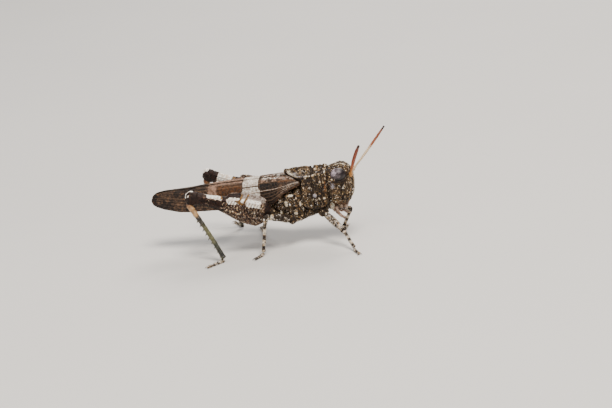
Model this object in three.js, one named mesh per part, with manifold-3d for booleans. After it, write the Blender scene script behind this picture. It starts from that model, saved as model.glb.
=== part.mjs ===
// A band-winged grasshopper, an adult female standing at rest on six feet.
// Millimetres. +X runs towards the head, +Y to the animal's own left, +Z up.
// Sizes are laid out from a point on the floor under the left hind shin, and the last lines
// move the whole animal so that the middle of its box stands on the origin.

import * as THREE from 'three';
import { mergeVertices } from 'three/addons/utils/BufferGeometryUtils.js';
import Module from 'manifold-3d';

const wasm = await Module();
wasm.setup();

// ---------------------------------------------------------------- driving sizes

const GAP = 0.06;               // clearance between neighbouring plates
const LEFT = 1;
const RIGHT = -1;

const NECK_X = 16.34;           // plane where head and pronotum meet
const WAIST_X = 7.4;            // plane where thorax and abdomen meet
const LOBE_REAR_X = 12.75;      // rear edge of the pronotum's side lobes

const HEAD_SIDES = 20;
const TRUNK_SIDES = 16;
const LIMB_SIDES = 8;

const EYE = { x: 18.2, y: 1.62, z: 10.62, length: 2.36, width: 1.76, height: 2.06 };
const ANTENNA_THICK = 0.54;
const WING_THICK = 0.5;

const KNEE_BULGE = 0.5;         // how far the hind thigh's end passes its knee joint
const HIND_SHIN_DROP = 1.38;    // from the hind knee's middle down to the top of its shin
const SHIN_DROP = 0.54;         // from a walking leg's knee to the top of its shin
const SPINE_COUNT = 9;          // spines in each of a hind shin's two rows
const SPINE_LENGTH = 0.62;
const SPINE_THICK = 0.26;
const CLAW_LENGTH = 0.5;
const CLAW_THICK = 0.2;

// Trunk stations along x. Each is [x, top, bottom, half width].
const THORAX = [
  [WAIST_X + GAP, 8.2, 4.25, 1.95],
  [8.6, 8.5, 3.6, 2.3],
  [10.0, 9.0, 3.35, 2.55],
  [11.4, 9.3, 3.55, 2.6],
  [LOBE_REAR_X - 0.25, 9.4, 3.9, 2.5],
];
const PROSTERNUM = [
  [LOBE_REAR_X - 0.15, 6.0, 4.05, 2.1],
  [13.6, 6.05, 4.35, 2.2],
  [14.8, 6.05, 4.75, 2.05],
  [15.9, 6.05, 5.2, 1.6],
];
const ABDOMEN = [
  [-4.6, 8.1, 7.1, 0.5],
  [-4.0, 8.5, 6.75, 0.85],
  [-2.0, 8.95, 6.5, 1.12],
  [0.3, 9.25, 5.95, 1.36],
  [2.8, 9.35, 5.0, 1.62],
  [5.0, 9.2, 4.4, 1.85],
  [WAIST_X, 8.75, 4.2, 1.95],
];
const ABDOMEN_RINGS = 9;

// Pronotum stations, a saddle over the thorax:
// x, crest height, shoulder height and half width, lobe half width and edge height, underside.
const PRONOTUM = [
  [10.15, 11.38, 11.24, 0.16, 0.18, 11.06, 11.04],
  [10.8, 11.45, 11.16, 0.95, 1.05, 10.92, 10.9],
  [11.8, 11.56, 10.98, 1.8, 1.98, 10.62, 10.7],
  [LOBE_REAR_X - 0.1, 11.62, 10.88, 2.1, 2.55, 10.1, 10.45],
  [LOBE_REAR_X, 11.62, 10.88, 2.1, 2.78, 6.75, 6.75],
  [13.25, 11.6, 10.85, 2.05, 2.84, 6.1, 6.12],
  [14.0, 11.5, 10.8, 1.9, 2.8, 5.85, 6.12],
  [14.4, 11.66, 10.86, 1.88, 2.76, 5.78, 6.12],
  [15.3, 11.74, 10.95, 1.85, 2.66, 5.75, 6.12],
  [15.95, 11.74, 11.0, 1.85, 2.56, 6.2, 6.25],
  [NECK_X - GAP, 11.7, 11.05, 1.85, 2.46, 6.9, 6.95],
];
const LOBE_THICK = 0.4;

// Head stations up the face: height, foremost x, rearmost x, half width.
const HEAD = [
  [5.8, 19.1, 17.2, 1.2],
  [6.3, 19.55, 16.7, 1.8],
  [7.1, 19.85, NECK_X, 2.2],
  [8.2, 20.08, NECK_X, 2.36],
  [9.4, 20.15, NECK_X, 2.3],
  [10.4, 20.1, NECK_X, 2.02],
  [11.1, 19.92, NECK_X, 1.75],
  [11.7, 19.6, NECK_X + 0.1, 1.35],
  [12.1, 19.25, 16.9, 0.95],
  [12.32, 18.8, 17.7, 0.4],
];

// Tegmen stations: x, top, fold half width and height, costal half width and edge height.
const TEGMEN = [
  [-11.3, 8.55, 0.56, 8.35, 0.58, 8.0],
  [-11.05, 8.95, 0.64, 8.6, 0.68, 7.6],
  [-10.3, 9.35, 0.78, 8.85, 0.88, 7.2],
  [-8.8, 9.58, 1.0, 8.9, 1.2, 6.8],
  [-6.2, 9.68, 1.32, 8.8, 1.58, 6.4],
  [-3.2, 9.98, 1.62, 8.85, 1.92, 6.45],
  [0.0, 10.26, 1.9, 8.9, 2.22, 6.6],
  [3.1, 10.46, 2.08, 9.0, 2.46, 6.75],
  [6.0, 10.64, 2.18, 9.2, 2.6, 6.8],
  [7.6, 10.76, 2.2, 9.35, 2.66, 6.95],
  [9.8, 10.86, 2.2, 9.65, 2.68, 8.5],
  [11.2, 10.68, 2.15, 9.98, 2.64, 9.25],
  [12.3, 10.3, 2.05, 10.1, 2.55, 9.65],
];
// Folded hind wing: x, top, bottom of a thin upright fan between the tegmina.
const HINDWING = [
  [-7.9, 8.8, 7.7],
  [-7.4, 8.86, 7.4],
  [-6.7, 8.9, 7.9],
  [-6.3, 8.95, 8.4],
  [-4.9, 9.05, 8.6],
];

// Legs: where each joint of a leg lies, for y on the left; side lists left and right apart,
// because the animal doesn't stand quite evenly.
const LEGS = {
  fore: {
    left: { coxa: [15.3, 1.75, 5.15], hip: [15.6, 2.15, 4.7], knee: [18.8, 3.3, 3.55],
      ankle: [17.4, 3.9, 0.72], toe: [17.7, 6.4] },
    right: { coxa: [15.3, 1.75, 5.15], hip: [15.6, 2.2, 4.85], knee: [18.55, 4.5, 2.65],
      ankle: [20.1, 6.5, 0.72], toe: [21.2, 8.7] },
  },
  mid: {
    left: { coxa: [10.7, 2.2, 4.3], hip: [10.5, 2.8, 4.5], knee: [6.6, 5.1, 5.35],
      ankle: [4.4, 5.5, 0.72], toe: [3.4, 7.9] },
    right: { coxa: [10.7, 2.2, 4.3], hip: [10.5, 2.85, 4.65], knee: [7.0, 5.15, 5.8],
      ankle: [6.2, 5.8, 0.72], toe: [5.0, 8.1] },
  },
  hind: {
    left: { coxa: [7.9, 2.35, 4.9], hip: [7.35, 3.7, 6.4], knee: [-3.75, 6.2, 9.95],
      ankle: [0.4, 8.85, 0.76], toe: [-1.7, 11.7] },
    right: { coxa: [7.9, 2.35, 4.9], hip: [7.35, 3.7, 6.3], knee: [-4.1, 5.5, 9.85],
      ankle: [0.35, 7.6, 0.76], toe: [-1.9, 10.4] },
  },
};

// Hind thigh profile from hip to knee: distance, height above and below the axis, half width.
const HIND_FEMUR = [
  [0.0, 0.85, 0.95, 0.5],
  [0.55, 1.45, 1.85, 0.7],
  [1.7, 1.88, 2.48, 0.85],
  [3.2, 1.98, 2.4, 0.88],
  [4.8, 1.85, 1.98, 0.84],
  [6.1, 1.6, 1.5, 0.76],
  [6.5, 1.15, 1.34, 0.72],
  [7.8, 0.98, 1.02, 0.6],
  [9.4, 0.88, 0.8, 0.52],
  [10.4, 0.92, 0.8, 0.54],
  [11.3, 1.06, 1.05, 0.62],
  [12.1, 0.98, 1.1, 0.62],
  [12.6, 0.5, 0.7, 0.4],
];
// Walking-leg segment profiles as shares of their length, with half thicknesses.
const COXA = [[0.0, 0.55], [0.3, 0.78], [0.75, 0.72], [1.0, 0.45]];
const FEMUR = [[0.0, 0.36], [0.12, 0.52], [0.5, 0.6], [0.85, 0.47], [0.95, 0.5], [1.0, 0.36]];
const TIBIA = [[0.0, 0.28], [0.08, 0.36], [0.3, 0.3], [0.9, 0.29], [1.0, 0.3]];
const HIND_TIBIA = [[0.0, 0.4], [0.06, 0.55], [0.15, 0.42], [0.5, 0.38], [0.92, 0.4], [1.0, 0.36]];
// Foot profile: share of length, half width, height; three pads between two narrow joints.
const FOOT = [
  [0.0, 0.2, 0.42], [0.08, 0.29, 0.6], [0.38, 0.27, 0.54], [0.44, 0.23, 0.44], [0.5, 0.27, 0.52],
  [0.62, 0.26, 0.5], [0.67, 0.22, 0.42], [0.74, 0.25, 0.46], [0.95, 0.26, 0.52], [1.0, 0.18, 0.36],
];

// ---------------------------------------------------------------- finishes

const finish = (color, roughness) => ({ color, roughness, metalness: 0 });
const FINISH = {
  crust: finish(0x6b5a48, 0.75),
  wing: finish(0x5a4232, 0.6),
  pale: finish(0xcdb794, 0.65),
  eye: finish(0x5c4c50, 0.3),
  antenna: finish(0x7d3b20, 0.5),
  belly: finish(0x7a644a, 0.6),
  shin: finish(0x5d6150, 0.45),
};

// ---------------------------------------------------------------- helpers

const vec = (x, y, z) => new THREE.Vector3(x, y, z);
const mirrorY = ([x, y, z], side) => vec(x, y * side, z);

/** Six times the signed volume of an indexed shape: negative when its faces point inwards. */
function signedVolume(geometry) {
  const position = geometry.getAttribute('position');
  const index = geometry.getIndex();
  const corner = [vec(0, 0, 0), vec(0, 0, 0), vec(0, 0, 0)];
  let sum = 0;
  for (let i = 0; i < index.count; i += 3) {
    corner.forEach((point, k) => point.fromBufferAttribute(position, index.getX(i + k)));
    sum += corner[0].dot(corner[1].cross(corner[2]));
  }
  return sum;
}

/** Joins rings of points, each with the same count, into one closed body that faces outwards. */
function loft(rings) {
  const count = rings[0].length;
  const points = rings.flat();
  const faces = [];
  for (let r = 0; r + 1 < rings.length; r += 1) {
    for (let k = 0; k < count; k += 1) {
      const a = r * count + k;
      const b = r * count + (k + 1) % count;
      faces.push(a, b, b + count, a, b + count, a + count);
    }
  }
  for (const [ring, flip] of [[0, true], [rings.length - 1, false]]) {
    const middle = points.push(centre(rings[ring])) - 1;
    for (let k = 0; k < count; k += 1) {
      const a = ring * count + k;
      const b = ring * count + (k + 1) % count;
      faces.push(middle, flip ? b : a, flip ? a : b);
    }
  }
  const geometry = new THREE.BufferGeometry().setFromPoints(points);
  geometry.setIndex(faces);
  if (signedVolume(geometry) < 0) {
    geometry.setIndex(faces.slice().reverse());
  }
  return geometry;
}

function centre(ring) {
  return ring.reduce((sum, point) => sum.add(point), vec(0, 0, 0)).divideScalar(ring.length);
}

/** Smooth values between stations whose first number is the place along the part. */
function smooth(stations) {
  const width = stations[0].length - 1;
  const curve = new THREE.CubicInterpolant(
    stations.map((station) => station[0]),
    stations.flatMap((station) => station.slice(1)),
    width,
  );
  return (place) => Array.from(curve.evaluate(place)).slice(0, width);
}

/** Unit circle point pushed out towards a square; power 2 keeps it round. */
function squircle(angle, power) {
  const c = Math.cos(angle);
  const s = Math.sin(angle);
  return [
    Math.sign(c) * Math.abs(c) ** (2 / power),
    Math.sign(s) * Math.abs(s) ** (2 / power),
  ];
}

/** An upright oval section at x, with its own top, bottom and half width. */
function trunkRing(x, top, bottom, half, power = 2.4) {
  const middle = (top + bottom) / 2;
  const reach = (top - bottom) / 2;
  return Array.from({ length: TRUNK_SIDES }, (_, k) => {
    const [across, up] = squircle((2 * Math.PI * k) / TRUNK_SIDES, power);
    return vec(x, half * across, middle + reach * up);
  });
}

/** Axes of a straight limb: along it, sideways, and away from its underside. */
function limbAxes(from, to, sideways) {
  const along = to.clone().sub(from).normalize();
  const up = along.clone().cross(sideways).normalize();
  const side = up.clone().cross(along).normalize();
  return { along, up, side };
}

/** A straight tapering limb from stations of distance, reach up, reach down and half width. */
function limb(from, to, sideways, stations, { sides = LIMB_SIDES, power = 2, grow = 0 } = {}) {
  const { along, up, side } = limbAxes(from, to, sideways);
  const last = stations.length - 1;
  return loft(stations.map(([distance, ...reaches], k) => {
    const [above, below, half] = reaches.map((reach) => reach + grow);
    const stretch = (k === last ? grow : 0) - (k === 0 ? grow : 0);
    const middle = from.clone().addScaledVector(along, distance + stretch);
    return Array.from({ length: sides }, (_, k) => {
      const [across, high] = squircle((2 * Math.PI * (k + 0.5)) / sides, power);
      return middle.clone()
        .addScaledVector(side, half * across)
        .addScaledVector(up, high * (high > 0 ? above : below));
    });
  }));
}

/** A round limb whose stations are shares of its length and half thicknesses. */
function roundLimb(from, to, sideways, profile, grow = 0) {
  const length = from.distanceTo(to);
  const stations = profile.map(([share, half]) => [share * length, half, half, half]);
  return limb(from, to, sideways, stations, { grow });
}

/** A cone of a few sides from a base point to a sharp tip. */
function thorn(base, tip, thick, sides = 4) {
  const axis = tip.clone().sub(base);
  const cone = new THREE.ConeGeometry(thick / 2, axis.length(), sides);
  cone.translate(0, axis.length() / 2, 0);
  cone.applyQuaternion(new THREE.Quaternion().setFromUnitVectors(vec(0, 1, 0), axis.normalize()));
  return cone.translate(base.x, base.y, base.z);
}

function toSolid(geometry) {
  const bare = geometry.clone();
  bare.deleteAttribute('normal');
  bare.deleteAttribute('uv');
  const merged = mergeVertices(bare, 1e-5);
  return new wasm.Manifold(new wasm.Mesh({
    numProp: 3,
    vertProperties: new Float32Array(merged.getAttribute('position').array),
    triVerts: new Uint32Array(merged.getIndex().array),
  }));
}

function fromSolid(solid) {
  const mesh = solid.getMesh();
  const geometry = new THREE.BufferGeometry();
  geometry.setAttribute('position', new THREE.BufferAttribute(mesh.vertProperties, 3));
  geometry.setIndex(new THREE.BufferAttribute(mesh.triVerts, 1));
  return geometry;
}

const joined = (first, ...rest) => fromSolid(
  rest.reduce((solid, piece) => solid.add(toSolid(piece)), toSolid(first)),
);
const cut = (body, ...tools) => fromSolid(
  tools.reduce((solid, tool) => solid.subtract(toSolid(tool)), toSolid(body)),
);

const animal = new THREE.Group();

/** Adds one named piece of the animal. */
function add(name, geometry, look) {
  const flat = geometry.index ? geometry.toNonIndexed() : geometry;
  flat.computeVertexNormals();
  const mesh = new THREE.Mesh(flat, new THREE.MeshStandardMaterial(FINISH[look]));
  mesh.name = name;
  animal.add(mesh);
}

const sideName = (side) => (side === LEFT ? 'left' : 'right');

// ---------------------------------------------------------------- trunk

function trunkPart(stations, count, power, grow = 0) {
  const at = smooth(stations);
  const first = stations[0][0];
  const last = stations.at(-1)[0];
  return loft(Array.from({ length: count + 1 }, (_, k) => {
    const x = first + ((last - first) * k) / count;
    const [top, bottom, half] = at(x);
    return trunkRing(x, top + grow, bottom - grow, half + grow, power);
  }));
}

/** The abdomen tapers backwards in rings, each a little wider at its rear edge. */
function abdomen() {
  const at = smooth(ABDOMEN);
  const first = ABDOMEN[0][0];
  const length = ABDOMEN.at(-1)[0] - first;
  const rings = [];
  for (let ring = 0; ring < ABDOMEN_RINGS; ring += 1) {
    for (const [share, swell] of [[0, 1.0], [0.85, 0.975]]) {
      const x = first + (length * (ring + share)) / ABDOMEN_RINGS;
      const [top, bottom, half] = at(x);
      const middle = (top + bottom) / 2;
      const reach = ((top - bottom) / 2) * swell;
      rings.push(trunkRing(x, middle + reach, middle - reach, half * swell));
    }
  }
  rings.push(trunkRing(first + length, ...at(first + length)));
  return loft(rings);
}

/** One section of the pronotum: crest, disc, shoulder, flared side lobe and hollow underside. */
function pronotumRing([x, crest, shoulderZ, shoulderY, lobeY, lobeZ, underZ]) {
  const drop = shoulderZ - lobeZ;
  const inner = Math.max(lobeY - LOBE_THICK, lobeY * 0.6);
  const half = [
    [shoulderY * 0.12, crest - 0.04],
    [shoulderY * 0.3, crest - 0.22],
    [shoulderY * 0.75, shoulderZ + 0.12],
    [shoulderY, shoulderZ],
    [THREE.MathUtils.lerp(shoulderY, lobeY, 0.62), shoulderZ - drop * 0.22],
    [lobeY * 1.02, shoulderZ - drop * 0.6],
    [lobeY, lobeZ + drop * 0.04],
    [lobeY - LOBE_THICK * 0.35, lobeZ],
    [inner, lobeZ + 0.01],
    [inner * 0.96, underZ + 0.02],
  ];
  const right = half.map(([y, z]) => vec(x, -y, z)).reverse();
  return [vec(x, 0, crest), ...half.map(([y, z]) => vec(x, y, z)), vec(x, 0, underZ + 0.02), ...right];
}

/** The ovipositor's two short horny jaws, hooked apart at their tips. */
function valve(rise) {
  const tip = ABDOMEN[0][0];
  const middle = 7.55 + rise * 0.32;
  return loft([
    [tip - GAP, 0.27, 0.48],
    [tip - 0.7, 0.26, 0.42],
    [tip - 1.15, 0.25, 0.3],
  ].map(([x, high, half], k) => Array.from({ length: LIMB_SIDES }, (_, i) => {
    const [across, up] = squircle((2 * Math.PI * (i + 0.5)) / LIMB_SIDES, 2);
    return vec(x, half * across, middle + rise * 0.09 * k + high * up);
  })));
}

const thorax = (grow) => trunkPart(THORAX, 8, 2.8, grow);
const prosternum = (grow) => trunkPart(PROSTERNUM, 5, 3, grow);
add('thorax', thorax(0), 'crust');
add('prosternum', prosternum(0), 'crust');
add('pronotum', loft(PRONOTUM.map(pronotumRing)), 'crust');
add('abdomen', abdomen(), 'belly');
add('ovipositor_upper', valve(1), 'belly');
add('ovipositor_lower', valve(-1), 'belly');
for (const side of [LEFT, RIGHT]) {
  const root = vec(-4.66, 0.6 * side, 8.2);
  const tip = vec(-5.5, 0.78 * side, 8.1);
  add(`cercus_${sideName(side)}`, roundLimb(root, tip, vec(0, 0, 1), [[0, 0.2], [0.3, 0.25], [1, 0.12]]), 'belly');
}

// ---------------------------------------------------------------- head

/** The head capsule, in level sections from the mouth's rim to the crown. */
function headCapsule() {
  const at = smooth(HEAD);
  const heights = HEAD.flatMap(([z], k) => (k + 1 < HEAD.length ? [z, (z + HEAD[k + 1][0]) / 2] : [z]));
  return loft(heights.map((z) => {
    const [front, rear, half] = at(z);
    const back = Math.max(rear, NECK_X);
    const middle = back + (front - back) * 0.42;
    return Array.from({ length: HEAD_SIDES }, (_, k) => {
      const angle = (2 * Math.PI * k) / HEAD_SIDES;
      const [ahead, across] = squircle(angle, Math.cos(angle) > 0 ? 2.3 : 4);
      const reach = ahead > 0 ? front - middle : middle - back;
      return vec(middle + reach * ahead, half * across, z);
    });
  }));
}

function eyeball(side, extra = 0) {
  const ball = new THREE.SphereGeometry(0.5, 14, 9);
  ball.rotateX(Math.PI / 2);
  ball.scale(EYE.length + 2 * extra, EYE.width + 2 * extra, EYE.height + 2 * extra);
  return ball.translate(EYE.x, EYE.y * side, EYE.z);
}

/** A feeler with its thick root joint, as a tapering tube along a slightly bent curve. */
function antenna(root, bend, tip) {
  const curve = new THREE.QuadraticBezierCurve3(root, bend, tip);
  const steps = 9;
  const frames = curve.computeFrenetFrames(steps);
  const half = ANTENNA_THICK / 2;
  const swell = [1.5, 1.35, 0.96, 1, 1, 1, 1, 1, 0.98, 0.7];
  return loft(swell.map((share, k) => Array.from({ length: LIMB_SIDES }, (_, i) => {
    const angle = (2 * Math.PI * i) / LIMB_SIDES;
    return curve.getPointAt(k === 1 ? 0.05 : k / steps)
      .addScaledVector(frames.normals[k], half * share * Math.cos(angle))
      .addScaledVector(frames.binormals[k], half * share * Math.sin(angle));
  })));
}

/** An upright plate of the mouth, wide at its root and rounded below. */
function mouthPlate(xFront, xRear, top, bottom, half, y = 0) {
  const depth = (xFront - xRear) / 2;
  return loft([[0, 0.82], [0.3, 1], [0.75, 0.9], [1, 0.5]].map(([share, wide]) => {
    const z = top + (bottom - top) * share;
    return Array.from({ length: 12 }, (_, k) => {
      const [ahead, across] = squircle((2 * Math.PI * k) / 12, 2.6);
      return vec(xFront - depth - 0.25 * share + depth * wide * ahead, y + half * wide * across, z);
    });
  }));
}

/** A jointed palp that hangs from the mouth and bends forwards. */
function palp(side) {
  const root = vec(17.3, 1.26 * side, 5.5);
  const knee = vec(17.75, 1.5 * side, 4.25);
  const tip = vec(18.55, 1.4 * side, 3.7);
  const upper = roundLimb(root, knee, vec(0, 1, 0), [[0, 0.25], [1, 0.27]]);
  const lower = roundLimb(knee, tip, vec(0, 1, 0), [[-0.1, 0.26], [0.8, 0.27], [1, 0.16]]);
  return joined(upper, lower);
}

const skull = headCapsule();
add('head', cut(skull, eyeball(LEFT, GAP), eyeball(RIGHT, GAP)), 'crust');
add('labrum', mouthPlate(19.2, 18.5, 5.74, 4.95, 0.95), 'pale');
add('labium', mouthPlate(17.6, 16.7, 5.7, 4.5, 1.0), 'pale');
for (const side of [LEFT, RIGHT]) {
  const name = sideName(side);
  add(`eye_${name}`, eyeball(side), 'eye');
  add(`mandible_${name}`, mouthPlate(18.4, 17.7, 5.74, 4.9, 0.42, 0.5 * side), 'pale');
  add(`palp_${name}`, palp(side), 'pale');
}
add('antenna_left', antenna(vec(20.3, 0.82, 10.5), vec(22.6, 1.7, 13.1), vec(25.25, 3.1, 16.25)), 'antenna');
add('antenna_right', antenna(vec(20.36, -0.82, 10.36), vec(21.0, -3.2, 13.4), vec(22.4, -6.3, 16.05)), 'antenna');

// ---------------------------------------------------------------- wings

/** One section of a tegmen: a rounded roof from the midline to the fold, then the side wall. */
function tegmenRing([x, top, foldY, foldZ, costalY, costalZ], side) {
  const inside = Math.max(foldY - WING_THICK, GAP / 2 + 0.04);
  const wall = Math.max(costalY - WING_THICK, GAP / 2 + 0.03);
  const seam = GAP / 2;
  const roof = top - WING_THICK;
  const outline = [
    [seam, top],
    [foldY * 0.55, top - 0.1],
    [foldY * 0.85, top - (top - foldZ) * 0.45],
    [foldY, foldZ],
    [(foldY + costalY) / 2 + 0.06, (foldZ + costalZ) / 2],
    [costalY, costalZ + 0.12],
    [costalY - WING_THICK / 2, costalZ],
    [wall, costalZ + 0.14],
    [(inside + wall) / 2 + 0.05, (foldZ + costalZ) / 2],
    [inside, foldZ - 0.1],
    [Math.max(inside * 0.62, seam + 0.02), Math.max(roof - 0.12, foldZ)],
    [seam, roof],
  ];
  return outline.map(([y, z]) => vec(x, y * side, z));
}

function hindWing(side) {
  const inner = GAP / 2;
  const half = WING_THICK / 2;
  return loft(HINDWING.map(([x, top, bottom]) => [
    [inner, top], [inner + half, top + 0.02], [inner + 2 * half, top],
    [inner + 2 * half, bottom], [inner + half, bottom - 0.02], [inner, bottom],
  ].map(([y, z]) => vec(x, y * side, z))));
}

for (const side of [LEFT, RIGHT]) {
  const name = sideName(side);
  add(`tegmen_${name}`, loft(TEGMEN.map((station) => tegmenRing(station, side))), 'wing');
  add(`hindwing_${name}`, hindWing(side), 'wing');
}

// ---------------------------------------------------------------- legs

/** A foot that lies flat on the floor, with two claws; heel and toe are points on the floor. */
function foot(heel, toe) {
  const along = toe.clone().sub(heel).normalize();
  const side = vec(-along.y, along.x, 0);
  const length = heel.distanceTo(toe) - CLAW_LENGTH;
  const place = (distance, across, z) => heel.clone()
    .addScaledVector(along, distance)
    .addScaledVector(side, across)
    .setZ(z);
  const pad = loft(FOOT.map(([share, half, high]) => [
    [-0.75, 0], [0.75, 0], [1, 0.4], [0.72, 0.85], [0, 1], [-0.72, 0.85], [-1, 0.4],
  ].map(([across, up]) => place(share * length, across * half, up * high))));
  const claws = [-1, 1].map((turn) => thorn(
    place(length - 0.1, turn * 0.1, 0.24),
    place(length + CLAW_LENGTH, turn * 0.34, 0.1),
    CLAW_THICK,
    5,
  ));
  return joined(pad, ...claws);
}

/** Hind shin: a slim tube with two rows of spines behind and four spurs at its end. */
function hindTibia(knee, ankle, sideways) {
  const { along, up, side } = limbAxes(knee, ankle, sideways);
  const length = knee.distanceTo(ankle);
  const half = 0.34;
  const spines = [];
  for (let k = 0; k < SPINE_COUNT; k += 1) {
    const distance = length * THREE.MathUtils.lerp(0.3, 0.95, k / (SPINE_COUNT - 1));
    for (const turn of [-1, 1]) {
      const out = up.clone().multiplyScalar(0.86).addScaledVector(side, 0.5 * turn).normalize();
      const base = knee.clone().addScaledVector(along, distance).addScaledVector(out, half * 0.7);
      const tip = base.clone()
        .addScaledVector(out, SPINE_LENGTH * 0.8)
        .addScaledVector(along, SPINE_LENGTH * 0.55);
      spines.push(thorn(base, tip, SPINE_THICK));
    }
  }
  return joined(roundLimb(knee, ankle, sideways, HIND_TIBIA), ...spines);
}

function leg(pair, side) {
  const name = `${pair}_${sideName(side)}`;
  const joints = LEGS[pair][sideName(side)];
  const [coxa, hip, knee, ankle] = ['coxa', 'hip', 'knee', 'ankle'].map((key) => mirrorY(joints[key], side));
  const heel = vec(ankle.x, ankle.y, 0);
  const toe = vec(joints.toe[0], joints.toe[1] * side, 0);
  const reach = knee.clone().sub(hip).setZ(0).normalize();
  const sideways = vec(-reach.y, reach.x, 0);
  add(`tarsus_${name}`, foot(heel, toe), 'shin');
  if (pair === 'hind') {
    const { along, up } = limbAxes(hip, knee, sideways);
    const root = knee.clone().addScaledVector(along, KNEE_BULGE - HIND_FEMUR.at(-1)[0]);
    const thigh = (grow) => limb(root, knee, sideways, HIND_FEMUR, { sides: 12, power: 1.8, grow });
    const shinTop = knee.clone().addScaledVector(up, -HIND_SHIN_DROP);
    add(`coxa_${name}`, cut(roundLimb(coxa, hip, sideways, COXA), thorax(GAP), thigh(GAP)), 'crust');
    add(`femur_${name}`, thigh(0), 'crust');
    add(`tibia_${name}`, hindTibia(shinTop, ankle, sideways), 'shin');
    return;
  }
  const thigh = (grow) => roundLimb(hip, knee, sideways, FEMUR, grow);
  const trunk = pair === 'mid' ? thorax(GAP) : prosternum(GAP);
  const shinTop = knee.clone().addScaledVector(ankle.clone().sub(knee).normalize(), SHIN_DROP);
  add(`coxa_${name}`, cut(roundLimb(coxa, hip, sideways, COXA), trunk, thigh(GAP)), 'crust');
  add(`femur_${name}`, thigh(0), 'crust');
  add(`tibia_${name}`, roundLimb(shinTop, ankle, sideways, TIBIA), 'shin');
}

for (const pair of Object.keys(LEGS)) {
  leg(pair, LEFT);
  leg(pair, RIGHT);
}

// ---------------------------------------------------------------- origin

const box = new THREE.Box3().setFromObject(animal);
const middle = box.getCenter(vec(0, 0, 0));
animal.position.set(-middle.x, -middle.y, -box.min.z);

export default animal;
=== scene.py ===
"""Surfaces, floor, light and camera for a life-size band-winged grasshopper.

Lengths are written in millimetres in the animal's own layout: x runs towards the head, y to its
own left and z up from the floor. place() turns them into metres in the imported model's frame.
"""

import itertools
import math

import bpy
import numpy as np
from bpy.props import FloatProperty, FloatVectorProperty, IntProperty, PointerProperty
from bpy.types import Operator, Panel, PropertyGroup
from mathutils import Matrix, Vector
from numpy.linalg import norm


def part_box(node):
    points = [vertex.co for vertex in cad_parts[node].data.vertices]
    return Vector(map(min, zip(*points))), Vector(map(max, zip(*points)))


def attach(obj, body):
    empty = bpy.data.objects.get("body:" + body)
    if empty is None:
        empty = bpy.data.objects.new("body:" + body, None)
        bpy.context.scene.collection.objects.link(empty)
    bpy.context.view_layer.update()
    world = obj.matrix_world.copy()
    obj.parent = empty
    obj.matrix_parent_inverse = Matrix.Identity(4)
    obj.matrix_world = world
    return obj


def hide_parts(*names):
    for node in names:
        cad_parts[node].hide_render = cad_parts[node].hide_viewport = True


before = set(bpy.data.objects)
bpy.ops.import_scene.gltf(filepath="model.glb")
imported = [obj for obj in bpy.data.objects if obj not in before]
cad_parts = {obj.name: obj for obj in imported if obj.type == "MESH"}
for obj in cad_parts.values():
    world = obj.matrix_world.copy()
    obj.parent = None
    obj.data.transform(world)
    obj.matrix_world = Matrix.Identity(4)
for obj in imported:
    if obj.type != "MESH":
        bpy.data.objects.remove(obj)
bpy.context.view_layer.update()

bl_info = {
    "name": "Band-winged grasshopper",
    "version": (1, 0, 0),
    "blender": (4, 5, 0),
    "location": "3D View > Sidebar > Grasshopper",
    "description": "Builds the surfaces of a life-size grasshopper model, its floor, lights and camera",
    "category": "Mesh",
}

# ---------------- layout

MM = 0.001
LEFT, RIGHT = 1, -1
SIDES = ((LEFT, "left"), (RIGHT, "right"))

GAP = 0.06                      # between the abdomen's tip and the ovipositor's jaws
NECK_X = 16.34                  # plane where head and pronotum meet
LOBE_REAR_X = 12.75             # rear edge of the pronotum's side lobes
LOBE_THICK = 0.4                # thickness of the pronotum's side lobes

# Trunk stations along x: x, top, bottom, half width.
THORAX = [
    (7.46, 8.2, 4.25, 1.95), (8.6, 8.5, 3.6, 2.3), (10.0, 9.0, 3.35, 2.55),
    (11.4, 9.3, 3.55, 2.6), (12.5, 9.4, 3.9, 2.5),
]
PROSTERNUM = [
    (12.6, 6.0, 4.05, 2.1), (13.6, 6.05, 4.35, 2.2), (14.8, 6.05, 4.75, 2.05), (15.9, 6.05, 5.2, 1.6),
]
ABDOMEN = [
    (-4.6, 8.1, 7.1, 0.5), (-4.0, 8.5, 6.75, 0.85), (-2.0, 8.95, 6.5, 1.12), (0.3, 9.25, 5.95, 1.36),
    (2.8, 9.35, 5.0, 1.62), (5.0, 9.2, 4.4, 1.85), (7.4, 8.75, 4.2, 1.95),
]
# Pronotum stations: x, crest height, shoulder height and half width, lobe half width and edge
# height, underside.
PRONOTUM = [
    (10.15, 11.38, 11.24, 0.16, 0.18, 11.06, 11.04), (10.8, 11.45, 11.16, 0.95, 1.05, 10.92, 10.9),
    (11.8, 11.56, 10.98, 1.8, 1.98, 10.62, 10.7), (12.65, 11.62, 10.88, 2.1, 2.55, 10.1, 10.45),
    (12.75, 11.62, 10.88, 2.1, 2.78, 6.75, 6.75), (13.25, 11.6, 10.85, 2.05, 2.84, 6.1, 6.12),
    (14.0, 11.5, 10.8, 1.9, 2.8, 5.85, 6.12), (14.4, 11.66, 10.86, 1.88, 2.76, 5.78, 6.12),
    (15.3, 11.74, 10.95, 1.85, 2.66, 5.75, 6.12), (15.95, 11.74, 11.0, 1.85, 2.56, 6.2, 6.25),
    (16.28, 11.7, 11.05, 1.85, 2.46, 6.9, 6.95),
]
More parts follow.
